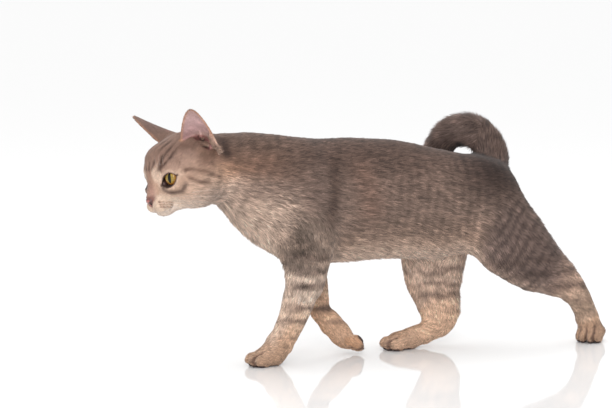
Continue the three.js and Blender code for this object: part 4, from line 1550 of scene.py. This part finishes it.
def iris_colour(p):
    """The iris with its fibres, the slit of the pupil, and dark beyond."""
    y, z = p[:, 1], p[:, 2]
    off = np.hypot(y, z)
    turn = np.arctan2(z, y)
    fibres = noise(np.column_stack([turn * 14, off * 0.5, off * 0]), (1, 1, 1), 81)
    c = graded(off, [(0, (138, 122, 60)), (2.6, (154, 131, 62)), (4.6, (168, 132, 56)),
                     (6.0, (158, 106, 46)), (6.6, (132, 74, 36)), (7.3, (44, 28, 24))])
    c *= 0.88 * (1 + 0.16 * fibres + 0.05 * noise(p, (0.7, 0.7, 0.7), 82))[:, None]
    slit = np.abs(y) - 1.7 * np.sqrt(np.clip(1 - (z / 5.0) ** 2, 0, 1))
    c = tint(c, (6, 6, 9), ramp(-slit, -0.3, 0.15) * (np.abs(z) < 5.1))
    c = tint(c, (70, 50, 46), ramp(off, 7.2, 8.0))
    return np.where((p[:, 0] < 0)[:, None], [70.0, 52, 44], c)


def build_eye(side):
    local, faces = globe()
    if side == "right":
        faces = [f[:, ::-1] for f in faces]
    h = (local @ gaze_axes(*GAZE[side]) + EYE_AT) * [1, SIGNS[side], 1]
    made = mesh_from(f"eyeball_{side}", from_head(h), faces)
    paint(made, "Marks", linear(iris_colour(local)))
    return install(made, eye_material(), "eye", f"eye_{side}")


def tube(line, radii, sides=5):
    """A tapered tube along a line, closed at both ends."""
    along = unit(np.gradient(line, axis=0))
    across = unit(np.cross(along, [0.13, 0.21, 0.97]))
    other = np.cross(along, across)
    turn = np.arange(sides) * 2 * math.pi / sides
    ring = across[:, None] * np.cos(turn)[:, None] + other[:, None] * np.sin(turn)[:, None]
    points = (line[:, None] + ring * radii[:, None, None]).reshape(-1, 3)
    start = fan(len(points), 0, sides)[:, ::-1]
    finish = fan(len(points) + 1, (len(line) - 1) * sides, sides)[:, [1, 2, 0]]
    points = np.vstack([points, line[0], line[-1]])
    return points, loops(len(line), sides), np.concatenate([start, finish])


WHISKER_DROOP, BROW_DROOP = np.array([-0.25, 0, -0.35]), np.array([-0.5, 0.4, 0.0])
WHISKER_RADIUS, BROW_RADIUS = 0.09, 0.07


def whisker_hairs():
    """The root, way, length, droop, radius and side of each whisker and long brow hair."""
    for sign in SIGNS.values():
        for row, in_row in enumerate([4, 4, 4, 3]):
            for k in range(in_row):
                root = np.array([15.0 - 3.0 * k, 10.5 + 1.9 * k - 0.4 * row, -18.3 - 2.2 * row])
                size = (30 + 7 * k) * random.uniform(0.85, 1.1)
                way = unit(np.array([0.35 - 0.33 * k, 1.0, 0.14 - 0.13 * row]))
                yield root, way, size, WHISKER_DROOP, WHISKER_RADIUS, sign
        for k in range(3):
            root = np.array([8.0 - 2 * k, 14 + 3.0 * k, 15.5])
            way = unit(np.array([0.5, 0.35 + 0.1 * k, 0.9]))
            yield root, way, random.uniform(14, 19), BROW_DROOP, BROW_RADIUS, sign


def build_whiskers():
    points, quads, tris, count = [], [], [], 0
    t = np.linspace(0, 1, 11)[:, None]
    for root, way, size, droop, thick, sign in whisker_hairs():
        line = root + way * size * t + droop * size * t**2 * 0.6 - way * 2.5 * (1 - t)
        p, q, e = tube(line * [1, sign, 1], thick * (1 - 0.85 * t[:, 0]))
        if sign < 0:
            q, e = q[:, ::-1], e[:, ::-1]
        points.append(from_head(p))
        quads.append(q + count)
        tris.append(e + count)
        count += len(p)
    faces = [np.concatenate(quads), np.concatenate(tris)]
    made = mesh_from("whiskers", np.concatenate(points), faces)
    return install(made, whisker_material(), "coat_face")


build_nose()
build_eye("left")
build_eye("right")
build_whiskers()


# ---- Studio ----


FLOOR_HALF = 40.0
CAMERA_AT = (-1.162623, -2.327445, 0.439165)
CAMERA_WAY = (0.42014635, 0.90100676, -0.10799936)
CAMERA_LENS, SENSOR_WIDTH = 147.06, 36
WORLD_POWER = 1.05
LAMPS = {  # where each is, what it is aimed at, its width and its power
    "key": ((-1.1, -1.9, 1.0), (0, 0, 0.12), 1.0, 26),
    "top": ((0.2, 0.4, 1.8), (0, 0, 0.1), 1.4, 7),
}


def look(made, at, way):
    made.location = at
    made.rotation_euler = Vector(way).to_track_quat("-Z", "Y").to_euler()


def floor():
    mesh = bpy.data.meshes.new("floor")
    corners = [(-1, -1), (1, -1), (1, 1), (-1, 1)]
    mesh.from_pydata([(x * FLOOR_HALF, y * FLOOR_HALF, 0) for x, y in corners], [], [(0, 1, 2, 3)])
    made = linked("floor", mesh)
    t = Nodes("floor")
    matte = t.add("BsdfDiffuse", {"Color": (0.88, 0.88, 0.88, 1)})
    gloss = t.add("BsdfGlossy", {"Color": (1, 1, 1, 1), "Roughness": 0.06})
    both = t.add("MixShader", {0: 0.33, 1: matte.outputs[0], 2: gloss.outputs[0]})
    made.data.materials.append(t.finish(both))


def lamp(name, at, aim, size, power):
    light = bpy.data.lights.new(name, "AREA")
    light.shape = "DISK"
    light.size, light.energy = size, power
    made = linked(name, light)
    look(made, at, Vector(aim) - Vector(at))


def studio():
    scene = bpy.context.scene
    world = bpy.data.worlds.new("studio")
    world.use_nodes = True
    background = world.node_tree.nodes["Background"]
    background.inputs[0].default_value = (1, 1, 1, 1)
    background.inputs[1].default_value = WORLD_POWER
    scene.world = world
    for name, settings in LAMPS.items():
        lamp(name, *settings)
    scene.view_settings.view_transform = "Standard"
    floor()
    camera = bpy.data.cameras.new("camera")
    camera.lens, camera.sensor_width = CAMERA_LENS, SENSOR_WIDTH
    camera.clip_start, camera.clip_end = 0.05, 50
    scene.camera = linked("camera", camera)
    look(scene.camera, CAMERA_AT, CAMERA_WAY)


studio()
